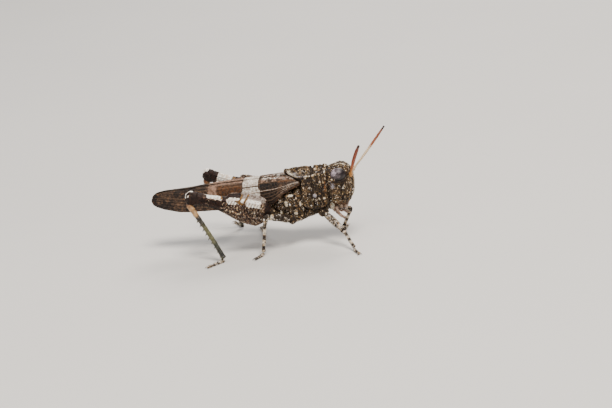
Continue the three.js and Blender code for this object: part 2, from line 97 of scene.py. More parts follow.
# Head stations up the face: height, foremost x, rearmost x, half width.
HEAD = [
    (5.8, 19.1, 17.2, 1.2), (6.3, 19.55, 16.7, 1.8), (7.1, 19.85, NECK_X, 2.2),
    (8.2, 20.08, NECK_X, 2.36), (9.4, 20.15, NECK_X, 2.3), (10.4, 20.1, NECK_X, 2.02),
    (11.1, 19.92, NECK_X, 1.75), (11.7, 19.6, NECK_X + 0.1, 1.35), (12.1, 19.25, 16.9, 0.95),
    (12.32, 18.8, 17.7, 0.4),
]
EYE_AT = (18.2, 1.62, 10.62)
EYE_SIZE = (2.36, 1.76, 2.06)

# Fore wing stations: x, top, fold half width and height, costal half width and edge height.
TEGMEN = [
    (-11.3, 8.55, 0.56, 8.35, 0.58, 8.0), (-11.05, 8.95, 0.64, 8.6, 0.68, 7.6),
    (-10.3, 9.35, 0.78, 8.85, 0.88, 7.2), (-8.8, 9.58, 1.0, 8.9, 1.2, 6.8),
    (-6.2, 9.68, 1.32, 8.8, 1.58, 6.4), (-3.2, 9.98, 1.62, 8.85, 1.92, 6.45),
    (0.0, 10.26, 1.9, 8.9, 2.22, 6.6), (3.1, 10.46, 2.08, 9.0, 2.46, 6.75),
    (6.0, 10.64, 2.18, 9.2, 2.6, 6.8), (7.6, 10.76, 2.2, 9.35, 2.66, 6.95),
    (9.8, 10.86, 2.2, 9.65, 2.68, 8.5), (11.2, 10.68, 2.15, 9.98, 2.64, 9.25),
    (12.3, 10.3, 2.05, 10.1, 2.55, 9.65),
]
# Folded hind wing: x, top, bottom.
HINDWING = [(-7.9, 8.8, 7.7), (-7.4, 8.86, 7.4), (-6.7, 8.9, 7.9), (-6.3, 8.95, 8.4), (-4.9, 9.05, 8.6)]

# Where the joints of each leg lie; y is measured outwards on that side.
LEGS = {
    ("fore", LEFT): ((15.3, 1.75, 5.15), (15.6, 2.15, 4.7), (18.8, 3.3, 3.55), (17.4, 3.9, 0.72),
                     (17.7, 6.4, 0.0)),
    ("fore", RIGHT): ((15.3, 1.75, 5.15), (15.6, 2.2, 4.85), (18.55, 4.5, 2.65), (20.1, 6.5, 0.72),
                      (21.2, 8.7, 0.0)),
    ("mid", LEFT): ((10.7, 2.2, 4.3), (10.5, 2.8, 4.5), (6.6, 5.1, 5.35), (4.4, 5.5, 0.72),
                    (3.4, 7.9, 0.0)),
    ("mid", RIGHT): ((10.7, 2.2, 4.3), (10.5, 2.85, 4.65), (7.0, 5.15, 5.8), (6.2, 5.8, 0.72),
                     (5.0, 8.1, 0.0)),
    ("hind", LEFT): ((7.9, 2.35, 4.9), (7.35, 3.7, 6.4), (-3.75, 6.2, 9.95), (0.4, 8.85, 0.76),
                     (-1.7, 11.7, 0.0)),
    ("hind", RIGHT): ((7.9, 2.35, 4.9), (7.35, 3.7, 6.3), (-4.1, 5.5, 9.85), (0.35, 7.6, 0.76),
                      (-1.9, 10.4, 0.0)),
}
# Hind thigh profile from hip to knee: distance, height above and below its axis, half width.
HIND_FEMUR = [
    (0.0, 0.85, 0.95, 0.5), (0.55, 1.45, 1.85, 0.7), (1.7, 1.88, 2.48, 0.85), (3.2, 1.98, 2.4, 0.88),
    (4.8, 1.85, 1.98, 0.84), (6.1, 1.6, 1.5, 0.76), (6.5, 1.15, 1.34, 0.72), (7.8, 0.98, 1.02, 0.6),
    (9.4, 0.88, 0.8, 0.52), (10.4, 0.92, 0.8, 0.54), (11.3, 1.06, 1.05, 0.62), (12.1, 0.98, 1.1, 0.62),
    (12.6, 0.5, 0.7, 0.4),
]
KNEE_BULGE = 0.5                # how far the thigh's end passes the knee joint
# Walking-leg profiles: share of length, half thickness.
COXA = [(0.0, 0.55), (0.3, 0.78), (0.75, 0.72), (1.0, 0.45)]
FEMUR = [(0.0, 0.34), (0.12, 0.48), (0.5, 0.56), (0.85, 0.42), (0.95, 0.47), (1.0, 0.36)]
TIBIA = [(0.0, 0.27), (0.08, 0.33), (0.3, 0.25), (0.85, 0.24), (1.0, 0.3)]
HIND_TIBIA = [(0.0, 0.3), (0.04, 0.44), (0.12, 0.43), (0.25, 0.37), (0.5, 0.32), (0.9, 0.34), (1.0, 0.4)]
# Foot profile: share of length, half width, height.
FOOT = [
    (0.0, 0.16, 0.4), (0.08, 0.27, 0.6), (0.2, 0.25, 0.52), (0.38, 0.25, 0.5), (0.44, 0.16, 0.36),
    (0.5, 0.24, 0.46), (0.62, 0.23, 0.44), (0.67, 0.14, 0.34), (0.74, 0.19, 0.38), (0.95, 0.23, 0.46),
    (1.0, 0.14, 0.32),
]
# Brown strokes over the thigh's white field: start and end as distance and height, width.
THIGH_STROKES = [
    (4.35, 1.75, 4.68, 0.75, 0.16), (3.42, 1.95, 3.85, 0.9, 0.16), (5.25, 0.87, 4.5, 0.8, 0.14),
    (4.5, 0.6, 3.8, 0.6, 0.22),
]
# Ovipositor jaw: distance, reach up, reach down, half width.
VALVE = [(-0.3, 0.42, 0.42, 0.46), (0.0, 0.4, 0.4, 0.48), (0.6, 0.26, 0.26, 0.42), (1.0, 0.2, 0.2, 0.3),
         (1.15, 0.1, 0.1, 0.14)]
ACROSS_BODY, UPRIGHT = np.array([0.0, 1.0, 0.0]), np.array([0.0, 0.0, 1.0])
CLAW_LENGTH = 0.5               # how far the claws pass the foot's last joint

ANTENNAE = {
    LEFT: ((20.1, 1.0, 10.46), (22.6, 1.7, 13.1), (25.25, 3.1, 16.25)),
    RIGHT: ((20.04, -1.06, 10.3), (21.0, -3.2, 13.4), (22.4, -6.3, 16.05)),
}

# The thorax stands on the midline, so its packed box says how far the layout was moved.
THORAX_LOW, THORAX_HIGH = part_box("thorax")
SHIFT = np.array([THORAX_LOW.x / MM - THORAX[0][0], (THORAX_LOW.y + THORAX_HIGH.y) / 2 / MM, 0.0])


def place(points):
    """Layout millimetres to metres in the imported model's frame."""
    return (np.asarray(points, float) + SHIFT) * MM


# ---------------- number helpers

def spline(knots, values, at):
    """Smooth curves through values at rising knots, without overshoot between them."""
    knots, values, at = (np.asarray(part, float) for part in (knots, values, at))
    trailing = (1,) * (values.ndim - 1)
    gap = np.diff(knots).reshape(-1, *trailing)
    rise = np.diff(values, axis=0) / gap
    slope = np.zeros_like(values)
    before, after = rise[:-1], rise[1:]
    same = before * after > 0
    slope[1:-1][same] = (2 * before * after)[same] / (before + after)[same]
    slope[0], slope[-1] = rise[0], rise[-1]
    at = np.clip(at, knots[0], knots[-1])
    k = np.clip(np.searchsorted(knots, at, side="right") - 1, 0, len(knots) - 2)
    width = gap[k]
    t = ((at - knots[k]).reshape(-1, *trailing)) / width
    return ((2 * t ** 3 - 3 * t ** 2 + 1) * values[k] + (t ** 3 - 2 * t ** 2 + t) * width * slope[k]
            + (3 * t ** 2 - 2 * t ** 3) * values[k + 1] + (t ** 3 - t ** 2) * width * slope[k + 1])


def stations(table, at):
    """Columns of a station table, smoothed, at places along the part."""
    table, at = np.asarray(table, float), np.asarray(at, float)
    return spline(table[:, 0], table[:, 1:], at.ravel()).T.reshape(-1, *at.shape)


def columns(table, at):
    """Stations stood up, to multiply with a row of places round the part."""
    return stations(table, at)[..., None]


def gridded(*parts):
    """Coordinates spread to one grid of points."""
    return np.stack(np.broadcast_arrays(*parts), -1)


def unit(vector):
    return vector / norm(vector)


def units(rows):
    """A grid of vectors, each brought to length 1."""
    return rows / np.maximum(norm(rows, axis=-1, keepdims=True), 1e-9)


def circle(count, turn=0.0):
    """Even angles round a full turn."""
    return 2 * math.pi * (np.arange(count) + turn) / count


def bent(value, power):
    """A power that keeps the value's sign."""
    return np.sign(value) * np.abs(value) ** power


def ease(low, high, value):
    """0 below low, 1 above high and smooth between; low may be the larger one."""
    t = np.clip((value - low) / (high - low), 0, 1)
    return t * t * (3 - 2 * t)


def hump(distance, width):
    """A soft hump, 1 at no distance."""
    return np.exp(-(distance / width) ** 2)


def window(value, low, high, soft=0.1):
    """1 between low and high, with soft edges."""
    return ease(low - soft, low + soft, value) * ease(high + soft, high - soft, value)


def scattered(cell, seed):
    """One repeatable number from 0 to 1 for each whole-number cell."""
    x, y, z = (cell[..., k].astype(np.int64) for k in range(3))
    mixed = (x * 374761393 + y * 668265263 + z * 2246822519 + seed * 3266489917) & 0xFFFFFFFF
    mixed = ((mixed ^ (mixed >> 13)) * 1274126177) & 0xFFFFFFFF
    return ((mixed ^ (mixed >> 16)) & 0xFFFF) / 0xFFFF


def noise(points, size, seed, octaves=1):
    """Smooth noise from 0 to 1 with lumps about size wide."""
    total, reach = 0.0, 0.0
    for octave in range(octaves):
        spot = points * (2 ** octave / size) + 11.7 * octave
        cell = np.floor(spot)
        inside = spot - cell
        inside = inside * inside * (3 - 2 * inside)
        layer = 0.0
        for corner in itertools.product((0, 1), repeat=3):
            weight = np.prod(np.where(corner, inside, 1 - inside), axis=-1)
            layer = layer + weight * scattered(cell + corner, seed + octave)
        total = total + layer / 2 ** octave
        reach += 1 / 2 ** octave
    return total / reach


def cells(points, size, seed, flat=False):
    """Distances to the nearest and next scattered seed, in cells, and the nearest one's number."""
    spot = points / size
    base = np.floor(spot)
    nearest = np.full(spot.shape[:-1], 9.0)
    following = nearest.copy()
    label = np.zeros_like(nearest)
    for offset in itertools.product((-1, 0, 1), (-1, 0, 1), (0,) if flat else (-1, 0, 1)):
        cell = base + offset
        centre = cell + np.stack([scattered(cell, seed + k) for k in range(3)], -1)
        if flat:
            centre[..., 2] = spot[..., 2]
        distance = norm(centre - spot, axis=-1)
        closer = distance < nearest
        following = np.where(closer, nearest, np.minimum(following, distance))
        label = np.where(closer, scattered(cell, seed + 5), label)
        nearest = np.minimum(nearest, distance)
    return nearest, following, label


# ---------------- skins

FIELDS = ("pale", "dark", "rust", "relief", "vein", "rough", "hair", "along", "around",
          "unwrap_u", "unwrap_v")


class Skin:
    """A closed grid of points, rings along a part and columns round it, in layout millimetres."""

    def __init__(self, rings):
        self.points = np.array(rings, float)
        self.x, self.y, self.z = (self.points[..., axis] for axis in range(3))
        rings, count = self.x.shape
        self.fields = {name: np.zeros((rings, count)) for name in FIELDS}
        self.fields["along"] += np.linspace(0, 1, rings)[:, None]
        self.fields["around"] += np.arange(count)[None, :] / count

    def outwards(self, around):
        """The grid's cross products, and how far they point away from its middle."""
        normal = np.cross(around, np.gradient(self.points, axis=0))
        return normal, ((self.points - self.points.mean((0, 1))) * normal).sum()

    def push(self, height):
        """Moves the surface outwards by height, and keeps the sum as relief."""
        normal, flux = self.outwards(np.roll(self.points, -1, 1) - np.roll(self.points, 1, 1))
        self.points += units(normal if flux > 0 else -normal) * height[..., None]
        self.fields["relief"] += height

    def paint(self, name, *amounts):
        """Raises a field to each of the amounts where that is more."""
        for amount in amounts:
            self.fields[name] = np.clip(np.maximum(self.fields[name], amount), 0, 1)

    def wipe(self, name, amount):
        """Lowers a field by amount, a share from 0 to 1."""
        self.fields[name] = self.fields[name] * (1 - np.clip(amount, 0, 1))

    def granulate(self, size, height, seed, where=1.0, fill=0.75):
        """Adds low rounded grains and the pits between them."""
        nearest, _, label = cells(self.points, size, seed)
        grain = np.clip(1 - (nearest / fill) ** 2, 0, 1) * (0.35 + 0.65 * label)
        self.push((grain - 0.3) * height * where)

    def wrinkle(self, size, height, seed, where=1.0, octaves=3):
        """Adds uneven wrinkles."""
        folds = 1 - np.abs(2 * noise(self.points, size, seed, octaves) - 1) * 2
        self.push(folds * height * where)

    def blotches(self, low, high, size, seed):
        """Scattered blotches where noise climbs from low to high."""
        return ease(low, high, noise(self.points, size, seed, 2))

    def calluses(self, size, seed, least, wide=0.34):
        """Smooth spots on the scattered cells whose number is above least, and the numbers."""
        nearest, _, chosen = cells(self.points, size, seed)
        return ease(wide, 0.2, nearest) * (chosen > least), chosen


def domed(rings, start=0.0, end=0.0, steps=5):
    """Closes a tube's two ends with rounded caps that stand out by the given amounts."""
    rings = np.asarray(rings, float)

    def cap(ring, inner, bulge):
        middle = ring.mean(0)
        outward = middle - inner.mean(0)
        outward /= max(norm(outward), 1e-9)
        turns = np.linspace(0, math.pi / 2, steps + 1)[1:-1]
        return [middle + (ring - middle) * math.cos(t) + outward * bulge * math.sin(t) for t in turns]

    return np.concatenate([cap(rings[0], rings[1], start)[::-1], rings, cap(rings[-1], rings[-2], end)])


def squircle(count, power, turn=0.0):
    """Unit circle points pushed out towards a square; power 2 keeps it round."""
    angle = circle(count, turn)
    return bent(np.cos(angle), 2 / power), bent(np.sin(angle), 2 / power)


def trunk_skin(table, rings, count, power, start=0.0, end=0.0):
    """An upright oval body along x."""
    x = np.linspace(table[0][0], table[-1][0], rings)
    top, bottom, half = columns(table, x)
    across, up = squircle(count, power)
    rings = gridded(x[:, None], half * across, (top + bottom) / 2 + (top - bottom) / 2 * up)
    return Skin(domed(rings, start, end))


def limb_axes(start, end, sideways):
    """Unit axes of a straight limb: along it, away from its underside, and sideways."""
    along = unit(end - start)
    up = unit(np.cross(along, sideways))
    return along, up, unit(np.cross(up, along))


def limb_skin(start, end, sideways, table, rings, count, power=2.0, caps=(0.3, 0.3), bend=0.0):
    """A limb from stations of distance, reach up, reach down and half width, bowed by bend."""
    along, up, side = limb_axes(start, end, sideways)
    distance = np.linspace(table[0][0], table[-1][0], rings)
    above, below, half = columns(table, distance)
    across, high = squircle(count, power, 0.5)
    bow = bend * np.sin(math.pi * (distance - distance[0]) / (distance[-1] - distance[0]))
    middle = start + distance[:, None] * along + bow[:, None] * up
    height = np.where(high > 0, above, below) * high
    rings = middle[:, None, :] + (half * across)[..., None] * side + height[..., None] * up
    return Skin(domed(rings, *caps))


def round_limb(start, end, sideways, profile, rings, count, caps=(0.2, 0.2), bend=0.0, flat=1.0):
    """A round limb whose stations are shares of its length and half thicknesses."""
    length = norm(end - start)
    table = [(share * length, half, half, half * flat) for share, half in profile]
    return limb_skin(start, end, sideways, table, rings, count, 2.0, caps, bend)


def ball_skin(centre, radii, rings=24, count=32):
    """An oval ball with its poles up and down."""
    tilt = np.linspace(-math.pi / 2, math.pi / 2, rings + 2)[1:-1, None]
    turn = circle(count)
    ball = gridded(np.cos(tilt) * np.cos(turn), np.cos(tilt) * np.sin(turn), np.sin(tilt))
    return Skin(np.asarray(centre) + ball * np.asarray(radii))


def horn_skin(base, tip, thick, hook, rings=9, count=8):
    """A curved pointed horn; hook says how far its middle is pushed off the straight line."""
    t = np.linspace(0, 1, rings)[:, None]
    path = base + (tip - base) * t + hook * (4 * t * (1 - t))
    heading = units(np.gradient(path, axis=0))
    first = units(np.cross(heading, [0.31, 0.27, 0.91]))
    second = np.cross(heading, first)
    radius = thick / 2 * np.sqrt(np.clip(1 - t, 0.004, 1)) * (1 - 0.25 * t)
    turn = circle(count)
    skin = Skin(path[:, None, :] + (radius * np.cos(turn))[..., None] * first[:, None, :]
                + (radius * np.sin(turn))[..., None] * second[:, None, :])
    skin.fields["dark"] += t ** 1.5
    return skin


def skin_mesh(name, skins):
    """One mesh from closed skins, in metres, with their fields as attributes."""
    points, faces, fields, first = [], [], {field: [] for field in FIELDS}, 0
    for index, skin in enumerate(skins):
        rings, count = skin.x.shape
        share = np.linspace(0, 1, rings)[:, None] + 0 * skin.x
        skin.fields["unwrap_u"] = (index + 0.02 + 0.96 * share) / len(skins)
        skin.fields["unwrap_v"] = 0.005 + 0.985 * skin.fields["around"]
        k = np.arange(count)
        after = (k + 1) % count
        ring = first + np.arange(rings - 1)[:, None] * count
        quads = gridded(ring + k, ring + after, ring + after + count, ring + k + count).reshape(-1, 4)
        ends = first + rings * count
        last = ends - count
        caps = np.concatenate([gridded(ends, first + after, first + k),
                               gridded(ends + 1, last + k, last + after)])
        _, flux = skin.outwards(np.roll(skin.points, -1, 1) - skin.points)
        step = -1 if flux < 0 else 1
        faces += quads[:, ::step].tolist() + caps[:, ::step].tolist()
        points += [skin.points.reshape(-1, 3), skin.points[[0, -1]].mean(1)]
        for field, values in skin.fields.items():
            fields[field] += [values.ravel(), values[[0, -1]].mean(1)]
        first = ends + 2
    mesh = bpy.data.meshes.new(name)
    mesh.from_pydata(place(np.concatenate(points)).tolist(), [], faces)
    for field, values in fields.items():
        layer = mesh.attributes.new(field, "FLOAT", "POINT")
        layer.data.foreach_set("value", np.concatenate(values).astype(np.float32))
    mesh.shade_smooth()
    mesh.validate()
    return mesh


def show(name, mesh, look, slot, *nodes):
    """Adds a finished piece: it rides on the one body and stands for the named nodes."""
    piece = bpy.data.objects.new(name, mesh)
    bpy.context.scene.collection.objects.link(piece)
    mesh.materials.clear()
    mesh.materials.append(look)
    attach(piece, "root")
    if nodes:
        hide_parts(*nodes)


# ---------------- node graphs

class Graph:
    """Adds nodes in short calls; an input may be a constant or another node's output."""

    def __init__(self, tree):
        self.tree = tree

    def add(self, kind, inputs=None, output=0, **settings):
        node = self.tree.nodes.new(kind)
        for key, value in settings.items():
            setattr(node, key, value)
        for key, value in (inputs or {}).items():
            self.feed(value, node.inputs[key])
        return node.outputs[output]

    def feed(self, value, socket):
        if isinstance(value, bpy.types.NodeSocket):
            self.tree.links.new(value, socket)
        else:
            socket.default_value = value

    def math(self, operation, a, b=0.0, c=0.0):
        inputs = {0: a, 1: b}
        if operation == "MULTIPLY_ADD":
            inputs[2] = c
        return self.add("ShaderNodeMath", inputs, operation=operation)

    def times(self, value, *others):
        """The product of all the values."""
        for other in others:
            value = self.math("MULTIPLY", value, other)
        return value

    def combined(self, x, y=0.0, z=0.0):
        return self.add("ShaderNodeCombineXYZ", {0: x, 1: y, 2: z})

    def vector(self, operation, a, b=(0.0, 0.0, 0.0)):
        return self.add("ShaderNodeVectorMath", {0: a, 1: b}, operation=operation)

    def stretch(self, value, low, high, to_low=0.0, to_high=1.0, kind="SMOOTHSTEP"):
        """Maps low..high to to_low..to_high and clamps outside."""
        return self.add("ShaderNodeMapRange", {
            "Value": value, "From Min": low, "From Max": high, "To Min": to_low, "To Max": to_high,
        }, interpolation_type=kind)


SPINE_TINT = 0.72               # place on the shin's ramp whose colour the spines take


SOCKETS = {float: "Float", int: "Int", tuple: "Vector"}


class Growth(Graph):
    """A Geometry Nodes tree that adds parts to a mesh; its inputs are had by their names."""

    def __init__(self, name, **defaults):
        super().__init__(bpy.data.node_groups.new(name, "GeometryNodeTree"))
        self.tree.is_modifier = True
        self.socket("Geometry", "Geometry")
        for label, default in defaults.items():
            self.socket(label, SOCKETS[type(default)]).default_value = default
        self.socket("Material", "Material")
        self.socket("Geometry", "Geometry", "OUTPUT")
        self.source = self.tree.nodes.new("NodeGroupInput").outputs

    def __getitem__(self, name):
        return self.source[name]

    def socket(self, name, kind, way="INPUT"):
        return self.tree.interface.new_socket(name, in_out=way, socket_type=f"NodeSocket{kind}")

    def finished(self, *parts):
        """Joins the parts, makes their instances real, smooths and paints them."""
        joined = self.tree.nodes.new("GeometryNodeJoinGeometry")
        for part in reversed(parts):
            self.feed(part, joined.inputs[0])
        real = self.add("GeometryNodeRealizeInstances", {0: joined.outputs[0]})
        soft = self.add("GeometryNodeSetShadeSmooth", {0: real})
        painted = self.add("GeometryNodeSetMaterial", {"Geometry": soft, "Material": self["Material"]})
        self.feed(painted, self.tree.nodes.new("NodeGroupOutput").inputs[0])
        return self.tree

    def stored(self, geometry, name, value, domain="POINT", kind="FLOAT"):
        return self.add("GeometryNodeStoreNamedAttribute", {
            "Geometry": geometry, "Name": name, "Value": value,
        }, data_type=kind, domain=domain)

    def named(self, name):
        return self.add("GeometryNodeInputNamedAttribute", {"Name": name}, data_type="FLOAT")

    def random(self, low, high, seed):
        return self.add("FunctionNodeRandomValue", {2: low, 3: high, "Seed": seed}, output=1,
                        data_type="FLOAT")

    def position(self):
        """The x, y and z of where a point is."""
        node = self.tree.nodes.new("ShaderNodeSeparateXYZ")
        self.feed(self.add("GeometryNodeInputPosition"), node.inputs[0])
        return node.outputs

    def scattered(self, field):
        """Points spread over a skin where the field allows, with the normal and rotation there."""
        node = self.tree.nodes.new("GeometryNodeDistributePointsOnFaces")
        node.distribute_method = "POISSON"
        dense = self.math("DIVIDE", 1.6, self.times(self["Spacing"], self["Spacing"]))
        for name, value in (("Mesh", self["Geometry"]), ("Distance Min", self["Spacing"]),
                            ("Density Max", dense), ("Density Factor", self.named(field)),
                            ("Seed", self["Seed"])):
            self.feed(value, node.inputs[name])
        return node.outputs["Points"], node.outputs["Normal"], node.outputs["Rotation"]

    def cone(self, corners, steps, tip, **settings):
        return self.add("GeometryNodeMeshCone", {
            "Vertices": corners, "Side Segments": steps, "Radius Top": tip, "Radius Bottom": 1.0,
            "Depth": 1.0}, **settings)

    def turned_to(self, vector):
        return self.add("FunctionNodeAlignRotationToVector", {"Vector": vector}, axis="Z")

    def instances(self, points, part, rotation, scale):
        return self.add("GeometryNodeInstanceOnPoints", {
            "Points": points, "Instance": part, "Rotation": rotation, "Scale": scale})

    def resampled(self, curve, count):
        return self.add("GeometryNodeResampleCurve", {"Curve": curve, "Count": count}, mode="COUNT")


def tubercle_tree():
    """Rounded tubercles sunk in a skin wherever its field called rough is raised."""
    graph = Growth("Tubercles", Size=0.1 * MM, Spacing=0.2 * MM, Seed=1)
    points, _, rotation = graph.scattered("rough")
    ball = graph.add("GeometryNodeMeshIcoSphere", {"Radius": 1.0, "Subdivisions": 2})
    size = graph.times(graph["Size"], graph.random(0.45, 1.25, 3))
    placed = graph.instances(points, ball, rotation, graph.combined(size, size, graph.times(size, 0.62)))
    # Each tubercle's stored relief lightens it in the finishes that shade by relief: its pale tip and a
    # painted glint.
    raised = graph.stored(placed, "relief", graph.random(0.0, 0.12, 8), "INSTANCE")
    return graph.finished(graph["Geometry"], raised)


def hair_tree():
    """Short tapering hairs that lean with the lie of the coat, each with its own bake patch."""
    graph = Growth("Hairs", Length=0.3 * MM, Thick=0.024 * MM, Spacing=0.2 * MM,
                   Lie=(-1.0, 0.0, -0.4), Patch=0.003, Seed=2)
    points, normal, _ = graph.scattered("hair")
    cone = graph.cone(4, 2, 0.08, fill_type="NONE")
    x, _, z = graph.position()
    cone = graph.stored(cone, "patch_u", graph.math("MULTIPLY_ADD", x, 0.5, 0.5))
    cone = graph.stored(cone, "patch_v", graph.math("ADD", z, 0.0))
    half = graph.times(graph["Thick"], 0.5)
    scale = graph.combined(half, half, graph.times(graph["Length"], graph.random(0.5, 1.2, 5)))
    turn = graph.turned_to(graph.vector("ADD", normal, graph["Lie"]))
    real = graph.add("GeometryNodeRealizeInstances", {0: graph.instances(points, cone, turn, scale)})
    patch = [graph.math("MULTIPLY_ADD", graph.named(f"patch_{axis}"), graph["Patch"],
                        graph.named(f"unwrap_{axis}")) for axis in "uv"]
    return graph.finished(graph.stored(real, "OFBake", graph.combined(*patch), "CORNER", "FLOAT2"))


def antenna_tree():
    """A feeler as a row of barrel-shaped joints along a bent line."""
    origin = (0.0, 0.0, 0.0)
    graph = Growth("Feeler joints", Root=origin, Bend=origin, Tip=origin, Joints=24, Thick=0.36 * MM)
    curve = graph.add("GeometryNodeCurveQuadraticBezier", {
        "Resolution": 48, "Start": graph["Root"], "Middle": graph["Bend"], "End": graph["Tip"],
    })
    share = graph.add("GeometryNodeSplineParameter")
    points = graph.stored(graph.resampled(curve, graph["Joints"]), "along", share)
    joint = graph.add("GeometryNodeMeshCylinder", {
        "Vertices": 14, "Side Segments": 6, "Radius": 1.0, "Depth": 1.0,
    })
    x, y, z = graph.position()
    barrel = graph.math("MULTIPLY_ADD", graph.math("COSINE", graph.times(z, math.pi)), 0.2, 0.8)
    swollen = graph.combined(graph.times(x, barrel), graph.times(y, barrel), z)
    joint = graph.add("GeometryNodeSetPosition", {"Geometry": joint, "Position": swollen})
    joint = graph.stored(joint, "relief", z)
    pitch = graph.math("DIVIDE", graph.add("GeometryNodeCurveLength", {0: curve}),
                       graph.math("SUBTRACT", graph["Joints"], 1.0))
    thick = graph.times(graph["Thick"], 0.5, graph.stretch(share, 0.7, 1.0, 1.0, 0.72),
                        graph.stretch(share, 0.0, 0.4, 0.72, 1.0))
    turn = graph.turned_to(graph.add("GeometryNodeInputTangent"))
    scale = graph.combined(thick, thick, graph.times(pitch, 1.04))
    return graph.finished(graph["Geometry"], graph.instances(points, joint, turn, scale))


def spine_tree():
    """A row of pointed spines along a line, darker towards their tips."""
    origin = (0.0, 0.0, 0.0)
    graph = Growth("Spine row", Start=origin, End=origin, Lean=(0.0, 0.0, 1.0), Count=9,
                   Length=0.6 * MM, Thick=0.2 * MM)
    line = graph.add("GeometryNodeCurvePrimitiveLine", {"Start": graph["Start"], "End": graph["End"]})
    cone = graph.cone(9, 6, 0.03)
    rise = graph.position()["Z"]
    cone = graph.stored(cone, "dark", graph.times(rise, rise))
    cone = graph.stored(cone, "along", SPINE_TINT)
    hook = graph.combined(graph.times(rise, rise, -0.7))
    cone = graph.add("GeometryNodeSetPosition", {"Geometry": cone, "Offset": hook})
    half = graph.times(graph["Thick"], 0.5)
    scale = graph.combined(half, half, graph.times(graph["Length"], graph.random(0.85, 1.08, 4)))
    points = graph.resampled(line, graph["Count"])
    turn = graph.turned_to(graph["Lean"])
    return graph.finished(graph["Geometry"], graph.instances(points, cone, turn, scale))


def node_tree(maker, name):
    """The named tree, built the first time it is asked for."""
    return bpy.data.node_groups.get(name) or maker()


def grown(mesh, tree, **values):
    """The plain mesh that a node tree makes of a mesh; the inputs are given by their names."""
    host = bpy.data.objects.new("host", mesh)
    bpy.context.scene.collection.objects.link(host)
    modifier = host.modifiers.new(tree.name, "NODES")
    modifier.node_group = tree
    for item in tree.interface.items_tree:
        if item.item_type == "SOCKET" and item.in_out == "INPUT" and item.name in values:
            modifier[item.identifier] = values.pop(item.name)
    if values:
        raise RuntimeError(f"{tree.name} has no inputs called {sorted(values)}")
    graph = bpy.context.evaluated_depsgraph_get()
    made = bpy.data.meshes.new_from_object(host.evaluated_get(graph), preserve_all_data_layers=True,
                                           depsgraph=graph)
    host.modifiers.remove(modifier)
    bpy.data.objects.remove(host)
    return made


# ---------------- finishes

class Finish(Graph):
    """A procedural material; spot is the place on the model in millimetres."""

    def __init__(self, name, roughness, specular=0.5, coat=0.0, subsurface=0.0):
        self.material = bpy.data.materials.new(name)
        self.material.use_nodes = True
        super().__init__(self.material.node_tree)
        self.shader = next(n for n in self.tree.nodes if n.type == "BSDF_PRINCIPLED")
        for socket, value in (("Roughness", roughness), ("Specular IOR Level", specular),
                              ("Coat Weight", coat), ("Coat Roughness", 0.2),
                              ("Subsurface Weight", subsurface), ("Subsurface Scale", 0.2 * MM)):
            self.shader.inputs[socket].default_value = value
        place_on = self.add("ShaderNodeTexCoord", output=3)
        self.spot = self.add("ShaderNodeMapping", {"Vector": place_on, "Scale": (1 / MM,) * 3})

    def field(self, name):
        return self.add("ShaderNodeAttribute", attribute_name=name, output=2)

    def noise(self, size, detail=2.0, spot=None, output=0):
        return self.add("ShaderNodeTexNoise", {
            "Vector": spot or self.spot, "Scale": 1 / size, "Detail": detail, "Roughness": 0.55,
        }, output=output)

    def cells(self, size, spot=None, output=1, randomness=1.0):
        return self.add("ShaderNodeTexVoronoi", {
            "Vector": spot or self.spot, "Scale": 1 / size, "Randomness": randomness,
        }, output=output)

    def ragged(self, size, amount):
        """The spot, pushed about by noise so that edges drawn on it are ragged."""
        push = self.vector("SUBTRACT", self.noise(size, 3.0, output=1), (0.5, 0.5, 0.5))
        push = self.add("ShaderNodeVectorMath", {0: push, "Scale": amount}, operation="SCALE")
        return self.vector("ADD", self.spot, push)

    def channel(self, colour, index=0):
        return self.add("ShaderNodeSeparateColor", {0: colour}, output=index)

    def ramp(self, value, stops):
        node = self.tree.nodes.new("ShaderNodeValToRGB")
        elements = node.color_ramp.elements
        while len(elements) < len(stops):
            elements.new(0.5)
        for element, (position, colour) in zip(elements, stops):
            element.position = position
            element.color = (*colour[:3], 1.0)
        self.feed(value, node.inputs[0])
        return node.outputs[0]

    def mix(self, share, a, b, blend="MIX"):
        a, b = (value if isinstance(value, bpy.types.NodeSocket) else (*value[:3], 1.0) for value in (a, b))
        return self.add("ShaderNodeMix", {0: share, 6: a, 7: b}, output=2, data_type="RGBA",
                        blend_type=blend)

    def shade(self, colour, *amounts):
        """Multiplies a colour by numbers, one after another."""
        for amount in amounts:
            colour = self.mix(1.0, colour, self.combined(amount, amount, amount), "MULTIPLY")
        return colour

    def grain(self, size, detail, *span):
        """Noise stretched evenly over a span."""
        return self.stretch(self.noise(size, detail), *span, kind="LINEAR")

    def mask(self, value, raggedness=0.5, size=0.14, middle=0.5, soft=0.12):
        """A field with a ragged edge where it crosses the middle."""
        rough = self.math("MULTIPLY_ADD", self.math("SUBTRACT", self.noise(size, 2.0), 0.5),
                          raggedness * 2, value)
        return self.stretch(rough, middle - soft, middle + soft)

    def bump(self, height, distance, before=None):
        inputs = {"Height": height, "Strength": 1.0, "Distance": distance * MM}
        if before is not None:
            inputs["Normal"] = before
        return self.add("ShaderNodeBump", inputs)

    def noise_bump(self, size, distance, detail=3.0):
        return self.bump(self.noise(size, detail), distance)

    def done(self, colour, normal=None):
        self.feed(colour, self.shader.inputs["Base Color"])
        if normal is not None:
            self.feed(normal, self.shader.inputs["Normal"])
        return self.material


